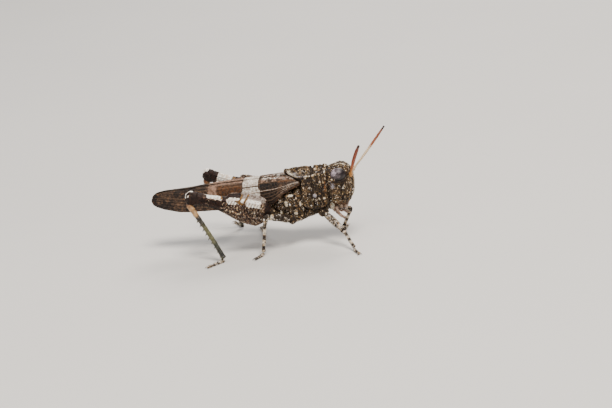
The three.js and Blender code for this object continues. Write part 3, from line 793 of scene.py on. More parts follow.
def mottled(look, tints, patch, warp=0.5):
    """Irregular patches of the tints in two sizes, with fine grain over them."""
    spot = look.ragged(patch * 0.8, patch * warp)
    coarse = look.channel(look.cells(patch, spot))
    fine = look.channel(look.cells(patch * 0.42, spot), 1)
    colour = look.mix(look.grain(patch * 1.6, 2.0, 0.4, 0.6), look.ramp(coarse, tints),
                        look.ramp(fine, tints))
    hue = look.ramp(look.channel(look.cells(patch * 0.55, spot), 2),
                      [(0.0, (0.84, 0.88, 1.1)), (0.5, (1.0, 1.0, 1.0)), (1.0, (1.25, 0.97, 0.7))])
    grain = look.grain(patch * 0.18, 3.0, 0.3, 0.7, 0.72, 1.3)
    broad = look.grain(3.2, 2.0, 0.35, 0.65, 0.82, 1.16)
    return look.shade(look.mix(1.0, colour, hue, "MULTIPLY"), look.times(grain, broad))


def shaded_by_relief(look, colour, low=-0.07, high=0.08, dark=0.35, light=1.3):
    """Darkens pits as painted shade, and lightens grains, partly as their own pale tips and partly as
    painted glints; both by the skin's relief.
    """
    return look.shade(colour, look.stretch(look.field("relief"), low, high, dark, light, "LINEAR"))


def marked(look, colour, marks):
    """Lays named fields over a colour, each with its own two tints and a ragged edge."""
    for field, tint, other, raggedness, size in marks:
        mask = look.mask(look.field(field), raggedness, size)
        blotch = look.stretch(look.noise(size * 1.5, 3.0), 0.38, 0.62)
        colour = look.mix(mask, colour, look.mix(blotch, tint, other))
    return colour


def granular_bump(look, size=0.09, distance=0.02):
    grains = look.cells(size, output=0)
    normal = look.bump(look.stretch(grains, 0.0, 0.7, 1.0, 0.0, "LINEAR"), distance)
    return look.bump(look.noise(size * 0.4, 3.0), distance * 0.5, normal)


DARK = (0.010, 0.007, 0.006)
BROWN = (0.036, 0.022, 0.013)
OLIVE = (0.088, 0.060, 0.022)
TAN = (0.20, 0.128, 0.066)
BUFF = (0.44, 0.33, 0.19)
CREAM = (0.76, 0.69, 0.58)
RUST = (0.27, 0.095, 0.022)


def plateaus(*tints):
    """Ramp stops that hold each tint between two places."""
    return [(at, tuple(tint)) for tint, *places in tints for at in places]


def cuticle_finish(name, colours):
    """Granular shell, mottled in dark brown, olive, buff and cream."""
    look = Finish(name, 0.55, 0.16)
    tints = plateaus((colours.ground, 0.0, 0.38), (colours.brown, 0.44, 0.64), (colours.olive, 0.68, 0.8),
                     (colours.tan, 0.83, 0.91), (colours.buff, 0.94), (colours.cream, 1.0))
    colour = marked(look, shaded_by_relief(look, mottled(look, tints, 0.27)), [
        ("pale", colours.cream, colours.buff, 0.6, 0.16),
        # The vein field gives grey marks, among them the painted highlight on each cheek.
        ("vein", (0.36, 0.32, 0.34), (0.17, 0.15, 0.155), 0.6, 0.2),
        ("rust", colours.rust, BROWN, 0.6, 0.2),
        ("dark", colours.ground, BROWN, 0.5, 0.16),
    ])
    return look.done(colour, granular_bump(look))


def membrane_finish(name):
    """Soft folded skin between the hard plates."""
    look = Finish(name, 0.6, 0.3)
    colour = look.ramp(look.noise(0.5, 4.0), [(0.3, DARK), (0.55, BROWN), (0.75, (0.13, 0.09, 0.06))])
    return look.done(colour, look.noise_bump(0.12, 0.04))


def material(name, maker, *arguments):
    """The named material, made the first time it is asked for."""
    return bpy.data.materials.get(name) or maker(name, *arguments)


def shared_cuticle():
    return material("Mottled cuticle", cuticle_finish, bpy.context.scene.grasshopper_shell)


def put(name, skins, look, slot, *nodes):
    """Adds a piece made of skins alone."""
    show(name, skin_mesh(name, skins), look, slot, *nodes)


def put_grained(name, skins, look, slot, node, size, spacing, seed):
    """Adds a piece with tubercles grown on its skins."""
    mesh = grown(skin_mesh(name, skins), node_tree(tubercle_tree, "Tubercles"), Size=size * MM,
                 Spacing=spacing * MM, Seed=seed, Material=look)
    show(name, mesh, look, slot, node)


def add_hairs(name, skins, lie, length, spacing, seed, slot):
    """A separate coat of hairs over a finished piece."""
    look = material("Hair", hair_finish)
    mesh = grown(skin_mesh(name, skins), node_tree(hair_tree, "Hairs"), Lie=lie, Length=length * MM,
                 Spacing=spacing * MM, Seed=seed, Material=look)
    show(name, mesh, look, slot)


def hair_finish(name):
    """Pale, slightly translucent bristles."""
    look = Finish(name, 0.4, 0.5)
    return look.done(look.ramp(look.noise(0.6, 2.0), [(0.35, (0.16, 0.12, 0.08)), (0.65, BUFF)]))


# ---------------- trunk

def closed_outline(points, count):
    """Even samples of a smooth closed outline, as y and z; points is (corners, 2, rings)."""
    points = points.transpose(0, 2, 1)
    corners = len(points)
    around = np.concatenate([points[-3:], points, points[:4]])
    steps = norm(np.roll(points, -1, 0) - points, axis=2).mean(1)
    reach = np.concatenate([[0], np.cumsum(steps)])
    at = np.interp(np.linspace(0, reach[-1], count + 1)[:-1], reach, np.arange(corners + 1))
    return spline(np.arange(-3, corners + 4), around, at).T


def pronotum_skin():
    """The saddle over the thorax: a keeled disc behind, side lobes and a collar in front."""
    at = np.unique(np.concatenate([np.linspace(10.15, 12.65, 64), np.linspace(12.65, LOBE_REAR_X, 6),
                                   np.linspace(LOBE_REAR_X, 16.28, 96)]))
    crest, top, wide, lobe_y, lobe_z, under = stations(PRONOTUM, at)
    drop = top - lobe_z
    inner = np.maximum(lobe_y - LOBE_THICK, lobe_y * 0.6)
    left = np.array([
        (wide * 0.12, crest - 0.04), (wide * 0.3, crest - 0.22), (wide * 0.75, top + 0.12), (wide, top),
        (wide + (lobe_y - wide) * 0.62, top - drop * 0.22), (lobe_y * 1.02, top - drop * 0.6),
        (lobe_y, lobe_z + drop * 0.04), (lobe_y - LOBE_THICK * 0.35, lobe_z), (inner, lobe_z + 0.01),
        (inner * 0.96, under + 0.02),
    ])
    loop = np.concatenate([[(0 * at, crest)], left, [(0 * at, under + 0.02)],
                           left[::-1] * [[-1], [1]]])
    skin = Skin(domed(gridded(at[:, None], *closed_outline(loop, 216)), 0.05, 0.06))

    x, y, z = skin.x, skin.y, skin.z
    crest, top, wide, lobe_y, lobe_z, under = stations(PRONOTUM, x)
    side = np.abs(y)
    above = ease(-0.1, 0.25, z - np.maximum(under, lobe_z) + 0.15 * (x > 12.7))
    behind = ease(14.3, 13.9, x)
    keel = hump(y, 0.1) * ease(crest - 0.5, crest - 0.2, z)
    shoulder = hump(side - wide, 0.16) * hump(z - top, 0.25)
    lobe = ease(top - 0.1, top - 0.6, z) * above
    groove = sum(hump(x - sulcus - 0.12 * np.sin(2.2 * z), width) * depth
                 for sulcus, width, depth in ((14.2, 0.13, 1.0), (15.05, 0.08, 0.65), (15.6, 0.08, 0.8)))
    groove = groove * above
    skin.wrinkle(0.75, 0.07, 11, above * (0.4 + 0.6 * behind))
    skin.push(keel * 0.26 * (1 - 0.9 * hump(x - 14.2, 0.16)) - groove * 0.15
              + shoulder * 0.2 * (0.4 + 0.6 * behind))
    skin.granulate(0.34, 0.1, 12, above)
    skin.granulate(0.16, 0.04, 13, above)
    rim = hump(x - 16.2, 0.12) + hump(z - lobe_z - 0.12, 0.12) * (x > LOBE_REAR_X)
    rear = hump(x - LOBE_REAR_X, 0.12) * lobe + hump(side - lobe_y, 0.14) * (x < 12.6) * above
    skin.push(0.07 * (rim + rear) * above)
    callus, chosen = skin.calluses(0.8, 31, 0.78)
    callus = callus * lobe
    skin.push(callus * 0.09)
    knob = norm(skin.points - gridded(14.5, np.sign(y) * 2.78, 7.95), axis=-1)
    skin.push(hump(knob, 0.22) * 0.12)

    line = hump(z - top - 0.04, 0.1) * hump(side - wide, 0.3)
    collar = hump(x - 16.14, 0.14) * ease(7.4, 8.2, z)
    # The pale patch at the rear tip, round x 10.6 near the midline, is a painted highlight.
    skin.paint("pale", 0.9 * callus * (chosen > 0.9), 1.25 * line * window(x, 13.1, 14.5, 0.15),
               0.9 * rear * window(x, 10.4, 12.3, 0.2), hump(x - 10.6, 0.3) * hump(side - 0.4, 0.4) * above,
               0.8 * collar * (chosen > 0.7))
    skin.paint("vein", 1.4 * hump(knob, 0.3) + 0.9 * hump(x - 11.7, 0.5) * hump(side - wide + 0.3, 0.3),
               0.9 * line * window(x, 11.3, 13.3, 0.3))
    skin.paint("rust", 0.62 * collar * window(z, 8.3, 10.5, 0.3) * (chosen < 0.6))
    # Painted shadow: the dark band just under the shoulder ridge, from x 12.9 to 14.1 and z 9.9 to 10.55,
    # on the side lobes.
    skin.paint("dark", 1.1 * groove * above + 0.5 * hump(side - 0.16, 0.08) * keel.clip(0, 1),
               window(x, 12.9, 14.1, 0.3) * window(z, 9.9, 10.55, 0.2) * lobe * 0.9,
               hump(x - 14.8, 0.45) * hump(z - 8.95, 0.4) * lobe, 1 - above)
    skin.paint("rough", above * (0.35 + 0.65 * behind) * (1 - groove.clip(0, 1)))
    return skin


def thorax_skin():
    """The middle of the trunk, with slanting seams between its side plates."""
    skin = trunk_skin(THORAX, 130, 190, 2.8, 0.1, 0.1)
    x, z, out = skin.x, skin.z, np.abs(skin.y)
    side = ease(1.2, 1.9, out) * ease(3.4, 4.1, z)
    seams = 0.0
    for foot_x, foot_z, head_x, head_z in ((12.1, 4.0, 11.1, 9.0), (10.75, 3.7, 9.7, 8.8),
                                           (9.25, 3.6, 8.5, 8.5)):
        lean = (head_x - foot_x) / (head_z - foot_z)
        seams = seams + hump(x - foot_x - lean * (z - foot_z) - 0.12 * np.sin(z * 2.1), 0.11)
    under = ease(4.4, 3.9, z)
    plates = hump(out - 1.25, 0.1) + hump(x - 9.7, 0.1) + hump(x - 11.5, 0.1)
    skin.wrinkle(0.8, 0.06, 21)
    skin.push(-0.14 * seams * side - 0.07 * plates * under + 0.1 * side * np.cos(x * 4.3))
    skin.granulate(0.36, 0.11, 22, side)
    skin.granulate(0.17, 0.04, 23)
    spots, chosen = skin.calluses(0.7, 24, 0.8)
    spots = spots * side
    skin.push(spots * 0.07)
    skin.paint("pale", spots * (chosen > 0.86))
    for at_x, at_z, wide, tall in ((10.0, 6.95, 0.3, 0.45), (10.7, 8.05, 0.42, 0.2), (11.3, 5.3, 0.3, 0.25),
                                   (9.0, 5.6, 0.22, 0.3), (12.1, 6.8, 0.16, 0.35)):
        spot = ease(1.15, 0.75, np.hypot((x - at_x) / wide, (z - at_z) / tall))
        skin.push(spot * 0.08)
        skin.paint("pale", 1.1 * spot * side)
    skin.paint("dark", seams * side)
    skin.paint("rough", side * 0.8)
    skin.paint("hair", under * 0.7 + 0.12 * side)
    return skin


def prosternum_skin():
    skin = trunk_skin(PROSTERNUM, 70, 110, 3.0, 0.1, 0.1)
    skin.push(-0.08 * hump(skin.x - 14.2, 0.12) - 0.06 * hump(np.abs(skin.y) - 1.1, 0.12))
    skin.granulate(0.3, 0.06, 26)
    skin.paint("rough", 0.3)
    skin.paint("hair", 0.5 * ease(5.6, 5.0, skin.z))
    return skin


def core_skin():
    """Folded membrane inside the shell, which shows in the cracks between plates and at the neck."""
    table = [(7.0, 8.3, 5.0, 1.6), (9.0, 8.9, 4.6, 1.95), (12.0, 9.8, 4.6, 2.05), (14.0, 10.3, 4.9, 1.9),
             (15.6, 10.5, 5.7, 1.7), (17.0, 10.6, 6.6, 1.5)]
    skin = trunk_skin(table, 90, 90, 2.4, 0.2, 0.2)
    skin.push(0.05 * np.sin(skin.x * 14) + 0.04 * noise(skin.points, 0.4, 28, 2))
    return skin


SEGMENTS = 9                    # rings of the abdomen


def abdomen_skin():
    """Tapering rings, each overlapping the next behind it, with a fold along either side."""
    skin = trunk_skin(ABDOMEN, 260, 120, 2.4, 0.28, 0.15)
    x, y, z = skin.x, skin.y, skin.z
    first = ABDOMEN[0][0]
    pitch = (ABDOMEN[-1][0] - first) / SEGMENTS
    share = ((x - first) / pitch) % 1.0
    top, bottom, _ = stations(ABDOMEN, x)
    middle = (top + bottom) / 2
    fold = hump(z - middle + 0.18, 0.14)
    rim = ease(0.0, 0.06, share) * ease(0.32, 0.1, share)
    joint = ease(0.86, 0.96, share) + ease(0.05, 0.0, share)
    skin.push(0.05 * rim - 0.13 * joint - 0.12 * fold + 0.05 * hump(y, 0.12) * (z > middle))
    skin.push(0.02 * np.sin(share * 40) * (1 - joint))
    skin.granulate(0.2, 0.03, 33)
    drum = np.hypot((x - 6.3) / 0.42, (z - 7.7) / 0.62)
    skin.push(0.08 * hump(drum - 1, 0.2) - 0.12 * ease(1.0, 0.8, drum))
    for ring in range(SEGMENTS):
        pore = np.hypot(x - first - pitch * (ring + 0.7), z - middle - 0.12)
        skin.push(-0.05 * hump(pore, 0.07) + 0.03 * hump(pore - 0.13, 0.05))
    blotch = noise(skin.points, 0.7, 34, 2) > 0.55
    skin.paint("dark", joint * 0.8, fold * 0.7, ease(1.0, 0.7, drum),
               blotch * window(share, 0.45, 0.8, 0.1) * (z > middle))
    skin.paint("pale", rim * (noise(skin.points, 0.5, 35) > 0.5) * 0.8 + 0.35 * (z < middle))
    skin.paint("hair", 0.35 * ease(middle, middle - 0.6, z) + 0.15)
    return skin


def abdomen_finish(name, colours):
    """Smoother, browner shell with paler rims and a paler underside."""
    look = Finish(name, 0.45, 0.5)
    tints = plateaus((colours.ground, 0.0), (colours.brown, 0.25), (colours.olive, 0.5),
                     (colours.tan, 0.7), (colours.buff, 0.9))
    colour = shaded_by_relief(look, mottled(look, tints, 0.32), -0.06, 0.06, 0.5, 1.2)
    colour = marked(look, colour, [
        ("pale", colours.buff, colours.tan, 0.5, 0.2), ("dark", colours.ground, BROWN, 0.4, 0.14),
    ])
    return look.done(colour, look.noise_bump(0.07, 0.015))


def valve_skin(rise):
    """One of the ovipositor's two hooked jaws."""
    tip = ABDOMEN[0][0]
    start = np.array([tip - GAP, 0.0, 7.55 + rise * 0.3])
    skin = limb_skin(start, start + [-VALVE[-1][0], 0.0, rise * 0.14], ACROSS_BODY, VALVE, 40, 40, 2.2,
                     (0.1, 0.06), -0.06 * rise)
    reach = (tip - skin.x) / VALVE[-1][0]
    skin.push(0.03 * hump(skin.y, 0.1) - 0.03 * hump(reach - 0.45, 0.07))
    skin.paint("dark", ease(0.55, 1.0, reach))
    skin.paint("rust", 0.7 * ease(0.2, 0.5, reach))
    return skin


# ---------------- head

def head_skin():
    """The head capsule, in level sections from the mouth's rim to the crown."""
    level = np.linspace(HEAD[0][0], HEAD[-1][0], 150)[:, None]
    front, rear, half = stations(HEAD, level)
    back = np.maximum(rear, NECK_X) - 0.28 * ease(6.6, 7.4, level) * ease(12.0, 11.4, level)
    middle = back + (front - back) * 0.42
    angle = circle(224)
    power = 2 / np.where(np.cos(angle) > 0, 2.3, 4.0)
    ahead, across = bent(np.cos(angle), power), bent(np.sin(angle), power)
    reach = np.where(ahead > 0, front - middle, middle - back)
    skin = Skin(domed(gridded(middle + reach * ahead, half * across, level), 0.05, 0.09))
    x, y, z = skin.x, skin.y, skin.z
    side = np.abs(y)
    eye = np.sqrt(sum(((part - at) / (size / 2)) ** 2 for part, at, size in
                      zip((x, side, z), EYE_AT, EYE_SIZE))) - 1
    face = ease(18.9, 19.5, x) * ease(12.1, 11.7, z)
    cheek = ease(1.3, 1.9, side)
    edge = 0.3 + 0.045 * (10.6 - z)
    costa = hump(side - edge, 0.1) - 0.5 * hump(y, 0.2)
    keel = hump(side - 1.12 - 0.13 * (9.9 - z), 0.1) * window(z, 6.7, 9.7, 0.25)
    socket = norm(gridded(x - 19.9, side - 1.03, z - 10.4), axis=-1)
    brow = hump(side - 0.62, 0.13) * ease(11.35, 11.75, z) * ease(17.2, 17.9, x)
    crown = -0.07 * hump(y, 0.42) * ease(11.5, 11.9, z) * ease(17.8, 18.6, x)
    mouth_seam = hump(z - 6.66 - 0.1 * side, 0.08) * ease(18.4, 18.9, x)
    lip_seam = hump(z - 6.16, 0.06) * ease(18.5, 19.0, x)
    tear = hump(x - 18.72 + 0.11 * (9.6 - z), 0.1) * window(z, 6.5, 9.5, 0.2) * cheek
    collar = hump(x - 16.62, 0.1)
    skin.push(0.07 * cheek * hump(x - 17.7, 0.8) * hump(z - 7.9, 1.0))
    skin.push(0.11 * hump(eye - 0.11, 0.07) + face * (0.19 * costa * window(z, 6.9, 11.7, 0.3))
              + 0.17 * keel * ease(18.4, 18.9, x) - 0.2 * hump(socket, 0.26)
              + 0.09 * hump(socket - 0.36, 0.1) + 0.12 * brow + crown - 0.16 * mouth_seam
              - 0.1 * lip_seam - 0.15 * tear - 0.08 * collar)
    z -= (0.22 * ease(18.7, 17.0, x) + 0.2) * ease(11.0, 12.2, z)
    skin.wrinkle(0.6, 0.04, 41)
    skin.granulate(0.3, 0.08, 42, (0.4 + 0.6 * ease(0.1, 0.3, eye)) * (1 - 0.7 * face))
    skin.granulate(0.15, 0.035, 43)
    spots, _ = skin.calluses(0.62, 44, 0.86, 0.32)
    skin.push(spots * 0.05)
    # The pale line along the crown's ridges at the very top is a painted highlight.
    skin.paint("pale", spots * ease(0.15, 0.3, eye), 0.7 * face * hump(side - edge, 0.08)
               + 0.5 * keel * face + 0.9 * hump(z - 11.95, 0.25) * brow)
    # Painted highlight: the soft grey patch on the cheek behind and below the eye, laid on the vein field.
    skin.paint("vein", 0.6 * hump(x - 17.3, 0.5) * hump(z - 9.1, 0.8) * cheek)
    skin.paint("dark", 1.2 * hump(x - 19.3, 0.5) * hump(z - 10.6, 0.5) * ease(0.85, 1.15, side),
               ease(0.42, 0.2, eye) * ease(10.3, 9.8, z) * ease(17.4, 17.9, x),
               mouth_seam + lip_seam + tear + 0.9 * collar + hump(socket, 0.2),
               ease(16.6, 16.4, x) + hump(eye - 0.02, 0.04))
    skin.paint("rust", 0.45 * ease(6.7, 6.3, z))
    skin.paint("rough", ease(0.12, 0.25, eye) * (1 - 0.6 * face) * ease(16.55, 16.8, x) * 0.8)
    skin.paint("hair", 0.25 * ease(0.15, 0.3, eye))
    return skin


def ocelli_skins():
    """Three small simple eyes: one in the frontal ridge, one above each feeler."""
    spots = [(20.16, 0.0, 9.65), (19.78, 0.62, 11.0), (19.78, -0.62, 11.0)]
    return [ball_skin(spot, (0.1, 0.13, 0.13), 12, 16) for spot in spots]


def eye_finish(name, colours):
    """A compound eye: tiny facets over violet-grey with brown mottling, under a clear gloss. Its pale field
    is a painted reflection on the upper rear, and its dark field makes it darker towards the bottom and the
    front.
    """
    look = Finish(name, 0.36, 0.35, 0.16)
    colour = look.ramp(look.noise(0.28, 4.0, look.ragged(0.4, 0.3)), [
        (0.4, colours.eye_dark), (0.48, colours.eye), (0.58, colours.eye), (0.64, (0.16, 0.13, 0.14)),
    ])
    # The pale tints paint the reflection on the eye's upper rear.
    colour = marked(look, colour, [("pale", (0.46, 0.37, 0.41), (0.16, 0.12, 0.13), 0.9, 0.22),
                                     ("dark", colours.eye_dark, (0.012, 0.008, 0.009), 0.5, 0.3)])
    fleck = look.channel(look.cells(0.13), 1)
    colour = look.shade(colour, look.stretch(fleck, 0.0, 1.0, 0.6, 1.35, "LINEAR"))
    facet = look.stretch(look.cells(0.045, output=0, randomness=0.25), 0.1, 0.75, 1.0, 0.0, "LINEAR")
    return look.done(colour, look.bump(facet, 0.008))


def plate_skin(front, rear, top, bottom, half, y=0.0):
    """An upright plate of the mouth, wide at its root and rounded below."""
    share = np.linspace(0, 1, 40)[:, None]
    wide = stations([(0, 0.82), (0.3, 1.0), (0.75, 0.9), (1, 0.5)], share)[0]
    depth = (front - rear) / 2
    ahead, across = squircle(64, 2.6)
    return Skin(domed(gridded(front - depth - 0.25 * share + depth * wide * ahead, y + half * wide * across,
                              top + (bottom - top) * share), 0.12, 0.1))


def palp_skins(side, root, knee, tip, thick=1.0):
    """A palp of five small joints."""
    root, knee, tip = (on_side(point, side) for point in (root, knee, tip))
    marks = [root, root + (knee - root) * 0.3, root + (knee - root) * 0.55, knee,
             knee + (tip - knee) * 0.55, tip]
    profile = [(0, 0.15 * thick), (0.25, 0.2 * thick), (0.85, 0.22 * thick), (1, 0.18 * thick)]
    skins = [round_limb(start, end, ACROSS_BODY, profile, 14, 20, (0.07, 0.08))
             for start, end in zip(marks, marks[1:])]
    for skin in skins:
        skin.paint("dark", hump(skin.fields["along"], 0.14) * 0.8)
    return skins


def mouth_finish(name):
    """Pale horny mouthparts, browner at their edges."""
    look = Finish(name, 0.4, 0.5, subsurface=0.1)
    colour = look.ramp(look.noise(0.4, 4.0), [(0.3, (0.07, 0.04, 0.025)), (0.46, (0.24, 0.14, 0.09)),
                                                  (0.6, (0.42, 0.28, 0.2)), (0.75, (0.58, 0.44, 0.34))])
    colour = marked(look, colour, [("dark", (0.05, 0.03, 0.02), BROWN, 0.4, 0.12),
                                     ("pale", CREAM, BUFF, 0.4, 0.12)])
    return look.done(shaded_by_relief(look, colour, -0.05, 0.05, 0.6, 1.2), look.noise_bump(0.07, 0.02))


def antenna_finish(name, stops):
    """Ringed joints whose colour changes from root to tip."""
    look = Finish(name, 0.45, 0.5)
    colour = look.ramp(look.field("along"), stops)
    ring = look.stretch(look.math("ABSOLUTE", look.field("relief")), 0.36, 0.5, 1.0, 0.45)
    return look.done(look.shade(colour, ring, look.grain(0.08, 3.0, 0.3, 0.7, 0.8, 1.2)),
                       look.noise_bump(0.04, 0.01, 2.0))


# ---------------- wings

WING_THICK = 0.13               # thickness of a fore wing
FOLD, COSTA = 1.0, 2.0          # places across a fore wing: its fold and its lower margin
ACROSS = 2.3                    # millimetres for one step across

# Lengthwise veins of the fore wing: strength, then x and place across, from root to tip.
VEINS = [
    (0.6, [(12.3, 0.3), (6.0, 0.36), (0.0, 0.34), (-8.0, 0.25)]),
    (0.7, [(12.3, 0.55), (6.0, 0.6), (0.0, 0.58), (-10.0, 0.5)]),
    (1.0, [(12.3, 0.84), (9.0, 0.76), (5.0, 0.74), (0.0, 0.78), (-10.8, 0.8)]),
    (1.3, [(12.3, 1.0), (8.8, 1.06), (6.1, 1.07), (3.1, 1.16), (-2.0, 1.2), (-10.8, 1.08)]),
    (1.0, [(12.3, 1.1), (9.0, 1.22), (6.0, 1.3), (2.0, 1.38), (-3.0, 1.38), (-10.8, 1.28)]),
    (0.9, [(12.3, 1.25), (9.0, 1.45), (6.0, 1.52), (2.0, 1.56), (-4.0, 1.54), (-10.6, 1.48)]),
    (0.9, [(12.0, 1.5), (9.5, 1.66), (6.0, 1.72), (0.0, 1.74), (-5.0, 1.72), (-10.3, 1.7)]),
    (0.5, [(8.0, 1.88), (3.0, 1.88), (-3.0, 1.87), (-9.8, 1.86)]),
    (0.5, [(1.0, 0.95), (-3.0, 0.98), (-10.6, 0.94)]),
    (0.5, [(0.0, 1.3), (-4.0, 1.29), (-10.6, 1.18)]),
]


def tegmen_skin(side):
    """A leathery fore wing: flat over the back, folded down the flank, netted with veins."""
    at = np.linspace(TEGMEN[0][0], TEGMEN[-1][0], 330)
    top, fold_y, fold_z, costal_y, costal_z = stations(TEGMEN, at)
    lap, lift = (-0.32, 0.05) if side == LEFT else (-0.12, -0.07)
    knots = [-0.12, 0.0, 0.5, 0.8, 1.0, 1.5, 1.9, 2.0]
    outline = np.array([
        (lap * fold_y / 2, top + lift), (0.03 + 0 * at, top + lift),
        (fold_y * 0.55, top - 0.1 + lift * 0.5), (fold_y * 0.85, top - (top - fold_z) * 0.45),
        (fold_y, fold_z), ((fold_y + costal_y) / 2 + 0.06, (fold_z + costal_z) / 2),
        (costal_y, costal_z + 0.18), (costal_y - 0.03, costal_z),
    ]).transpose(0, 2, 1)
    across = np.linspace(-0.12, COSTA, 150)
    back = np.linspace(COSTA, -0.12, 44)
    outer, inner = (spline(knots, outline, places).transpose(1, 0, 2) for places in (across, back))
    slope = np.gradient(inner, axis=1)
    inward = units(np.stack([-slope[..., 1], slope[..., 0]], -1))
    taper = ease(-11.3, -10.6, at)[:, None, None] * 0.6 + 0.4
    if (inward[165, 20] @ (np.array([0.0, fold_z[165] - 1.0]) - inner[165, 20])) < 0:
        inward = -inward
    loop = np.concatenate([outer, inner + inward * WING_THICK * taper], 1)
    skin = Skin(domed(gridded(at[:, None], loop[..., 0] * side, loop[..., 1]), 0.05, 0.05, 3))
    x = skin.x
    width = np.concatenate([across, back])[None, :] + 0 * x
    shell = np.concatenate([np.ones_like(across), np.zeros_like(back)])[None, :] + 0 * x
    vein = 0.0
    for strength, path in VEINS:
        path = path[::-1]
        reach = window(x, path[0][0], path[-1][0], 0.25)
        vein = np.maximum(vein, strength * hump((width - stations(path, x)[0]) * ACROSS, 0.075) * reach)
    flat = gridded(x / 1.7 + 0.1 * np.sin(width * 9), width * ACROSS, 0 * x)
    nearest, following, _ = cells(flat, 0.3, 51, flat=True)
    net = ease(0.16, 0.0, following - nearest)
    skin.push((0.075 * vein + 0.035 * net * (1 - vein.clip(0, 1))) * shell - 0.02 * shell)
    skin.wrinkle(0.9, 0.025, 52, shell, 2)
    skin.granulate(0.26, 0.045, 53, shell * ease(6.0, 8.0, x))
    lines = np.maximum(0.6 * vein, 0.75 * net).clip(0, 1)
    skin.fields["vein"] = lines * (1 - 0.35 * ease(-3.0, -5.0, x))

    sides = ease(0.92, 1.0, width)
    band = window(x, 3.45 - 0.2 * sides, 5.85 + 0.25 * sides, 0.1)
    spots = noise(skin.points * [0.8, 1, 1], 0.2, 54, 2)
    tan = skin.blotches(0.46, 0.56, 0.34, 56)
    blotch = noise(skin.points, 0.9, 55, 2)
    skin.paint("pale", 1.1 * band * (1 - 0.95 * hump(width - 0.84, 0.03)),
               0.85 * ease(0.56, 0.66, spots) * ease(0.8, 0.6, width) * window(x, 6.3, 11.4, 0.3),
               0.62 * window(x, 6.1, 12.2, 0.1) * hump(width - 1.06, 0.032),
               0.6 * ease(8.8, 9.6, x) * vein * (width > 0.9))
    skin.paint("rough", 0.95 * window(x, -2.1, -0.65, 0.2) * (width < 1.5),
               0.8 * window(x, -0.9, 3.3, 0.2) * ease(0.6, 0.45, width),
               0.8 * tan * ease(0.8, 0.68, width) * window(x, 6.2, 12.0, 0.3))
    skin.paint("rust", 0.8 * window(x, 6.2, 8.8, 0.2) * hump(width - 0.86, 0.06),
               0.7 * window(x, 8.6, 12.0, 0.3) * hump(width - 0.8, 0.06),
               0.9 * window(x, -0.7, 3.2, 0.12) * ease(0.5, 0.72, width) * ease(1.22, 0.95, width),
               0.75 * hump(width - 1.98, 0.05) + 0.6 * ease(-10.4, -11.1, x))
    skin.paint("dark", 0.95 * hump(width + 0.11, 0.025) * (side == LEFT),
               1.1 * window(x, 6.1, 8.9, 0.12) * window(width, 0.74, 1.02, 0.03),
               0.85 * window(x, 6.1, 8.7, 0.3) * window(width, 1.1, 1.98, 0.05),
               0.8 * ease(1.05, 1.3, width) * window(x, -0.8, 3.3, 0.1),
               0.8 * ease(0.47, 0.56, blotch) * ease(-2.0, -2.8, x))
    return skin


def wing_finish(name, colours):
    """Leathery wing: netted veins over brown cells, crossed by pale and dark bands."""
    look = Finish(name, 0.5, 0.2)
    tints = [(0.0, (0.012, 0.008, 0.006)), (0.35, (0.022, 0.013, 0.009)), (0.6, (0.045, 0.026, 0.015)),
             (0.85, (0.085, 0.05, 0.029)), (1.0, (0.16, 0.095, 0.055))]
    colour = marked(look, mottled(look, tints, 0.3, 0.9), [
        ("rough", (0.36, 0.21, 0.14), (0.13, 0.072, 0.045), 0.6, 0.25),
        ("rust", colours.rust, (0.035, 0.017, 0.009), 0.5, 0.2),
        ("dark", colours.ground, (0.022, 0.013, 0.009), 0.45, 0.16),
    ])
    net = look.mask(look.field("vein"), 0.12, 0.1, 0.4, 0.2)
    colour = look.mix(look.times(net, 0.4), colour, (0.13, 0.075, 0.04))
    pale = look.mix(look.stretch(look.noise(0.3, 3.0), 0.42, 0.6), colours.band, (0.5, 0.41, 0.32))
    pale = look.mix(look.times(net, 0.85), pale, (0.22, 0.15, 0.11))
    colour = look.mix(look.mask(look.field("pale"), 0.45, 0.16), colour, pale)
    return look.done(shaded_by_relief(look, colour, -0.05, 0.06, 0.5, 1.25), look.noise_bump(0.06, 0.014))


def hindwing_skin(side):
    """The folded fan of a hind wing, pleated lengthwise."""
    x = np.linspace(HINDWING[0][0], HINDWING[-1][0], 70)
    top, bottom = columns(HINDWING, x)
    angle = circle(60)
    rise = np.clip(np.sin(angle) * 1.15, -1, 1)
    pleat = 0.22 + 0.12 * np.cos(angle) + 0.035 * np.cos(rise * 16) * np.sign(np.cos(angle))
    return Skin(domed(gridded(x[:, None], pleat * side, (top + bottom) / 2 + (top - bottom) / 2 * rise),
                      0.03, 0.03, 3))


def membrane_wing_finish(name, colours):
    """Thin smoky membrane with a blue cast and brown pleats."""
    look = Finish(name, 0.35, 0.5)
    colour = look.ramp(look.noise(0.3, 3.0), [(0.35, (0.05, 0.05, 0.06)), (0.6, colours.hind),
                                                  (0.8, (0.2, 0.22, 0.25))])
    return look.done(colour, look.noise_bump(0.05, 0.01, 2.0))


# ---------------- legs

def on_side(point, side):
    return np.array([point[0], point[1] * side, point[2]])


def leg_points(pair, side):
    """Coxa, hip, knee, ankle, the foot's toe on the floor, and the leg's sideways direction."""
    coxa, hip, knee, ankle, toe = (on_side(point, side) for point in LEGS[pair, side])
    reach = unit((knee - hip) * [1, 1, 0])
    return coxa, hip, knee, ankle, toe, np.array([-reach[1], reach[0], 0.0])


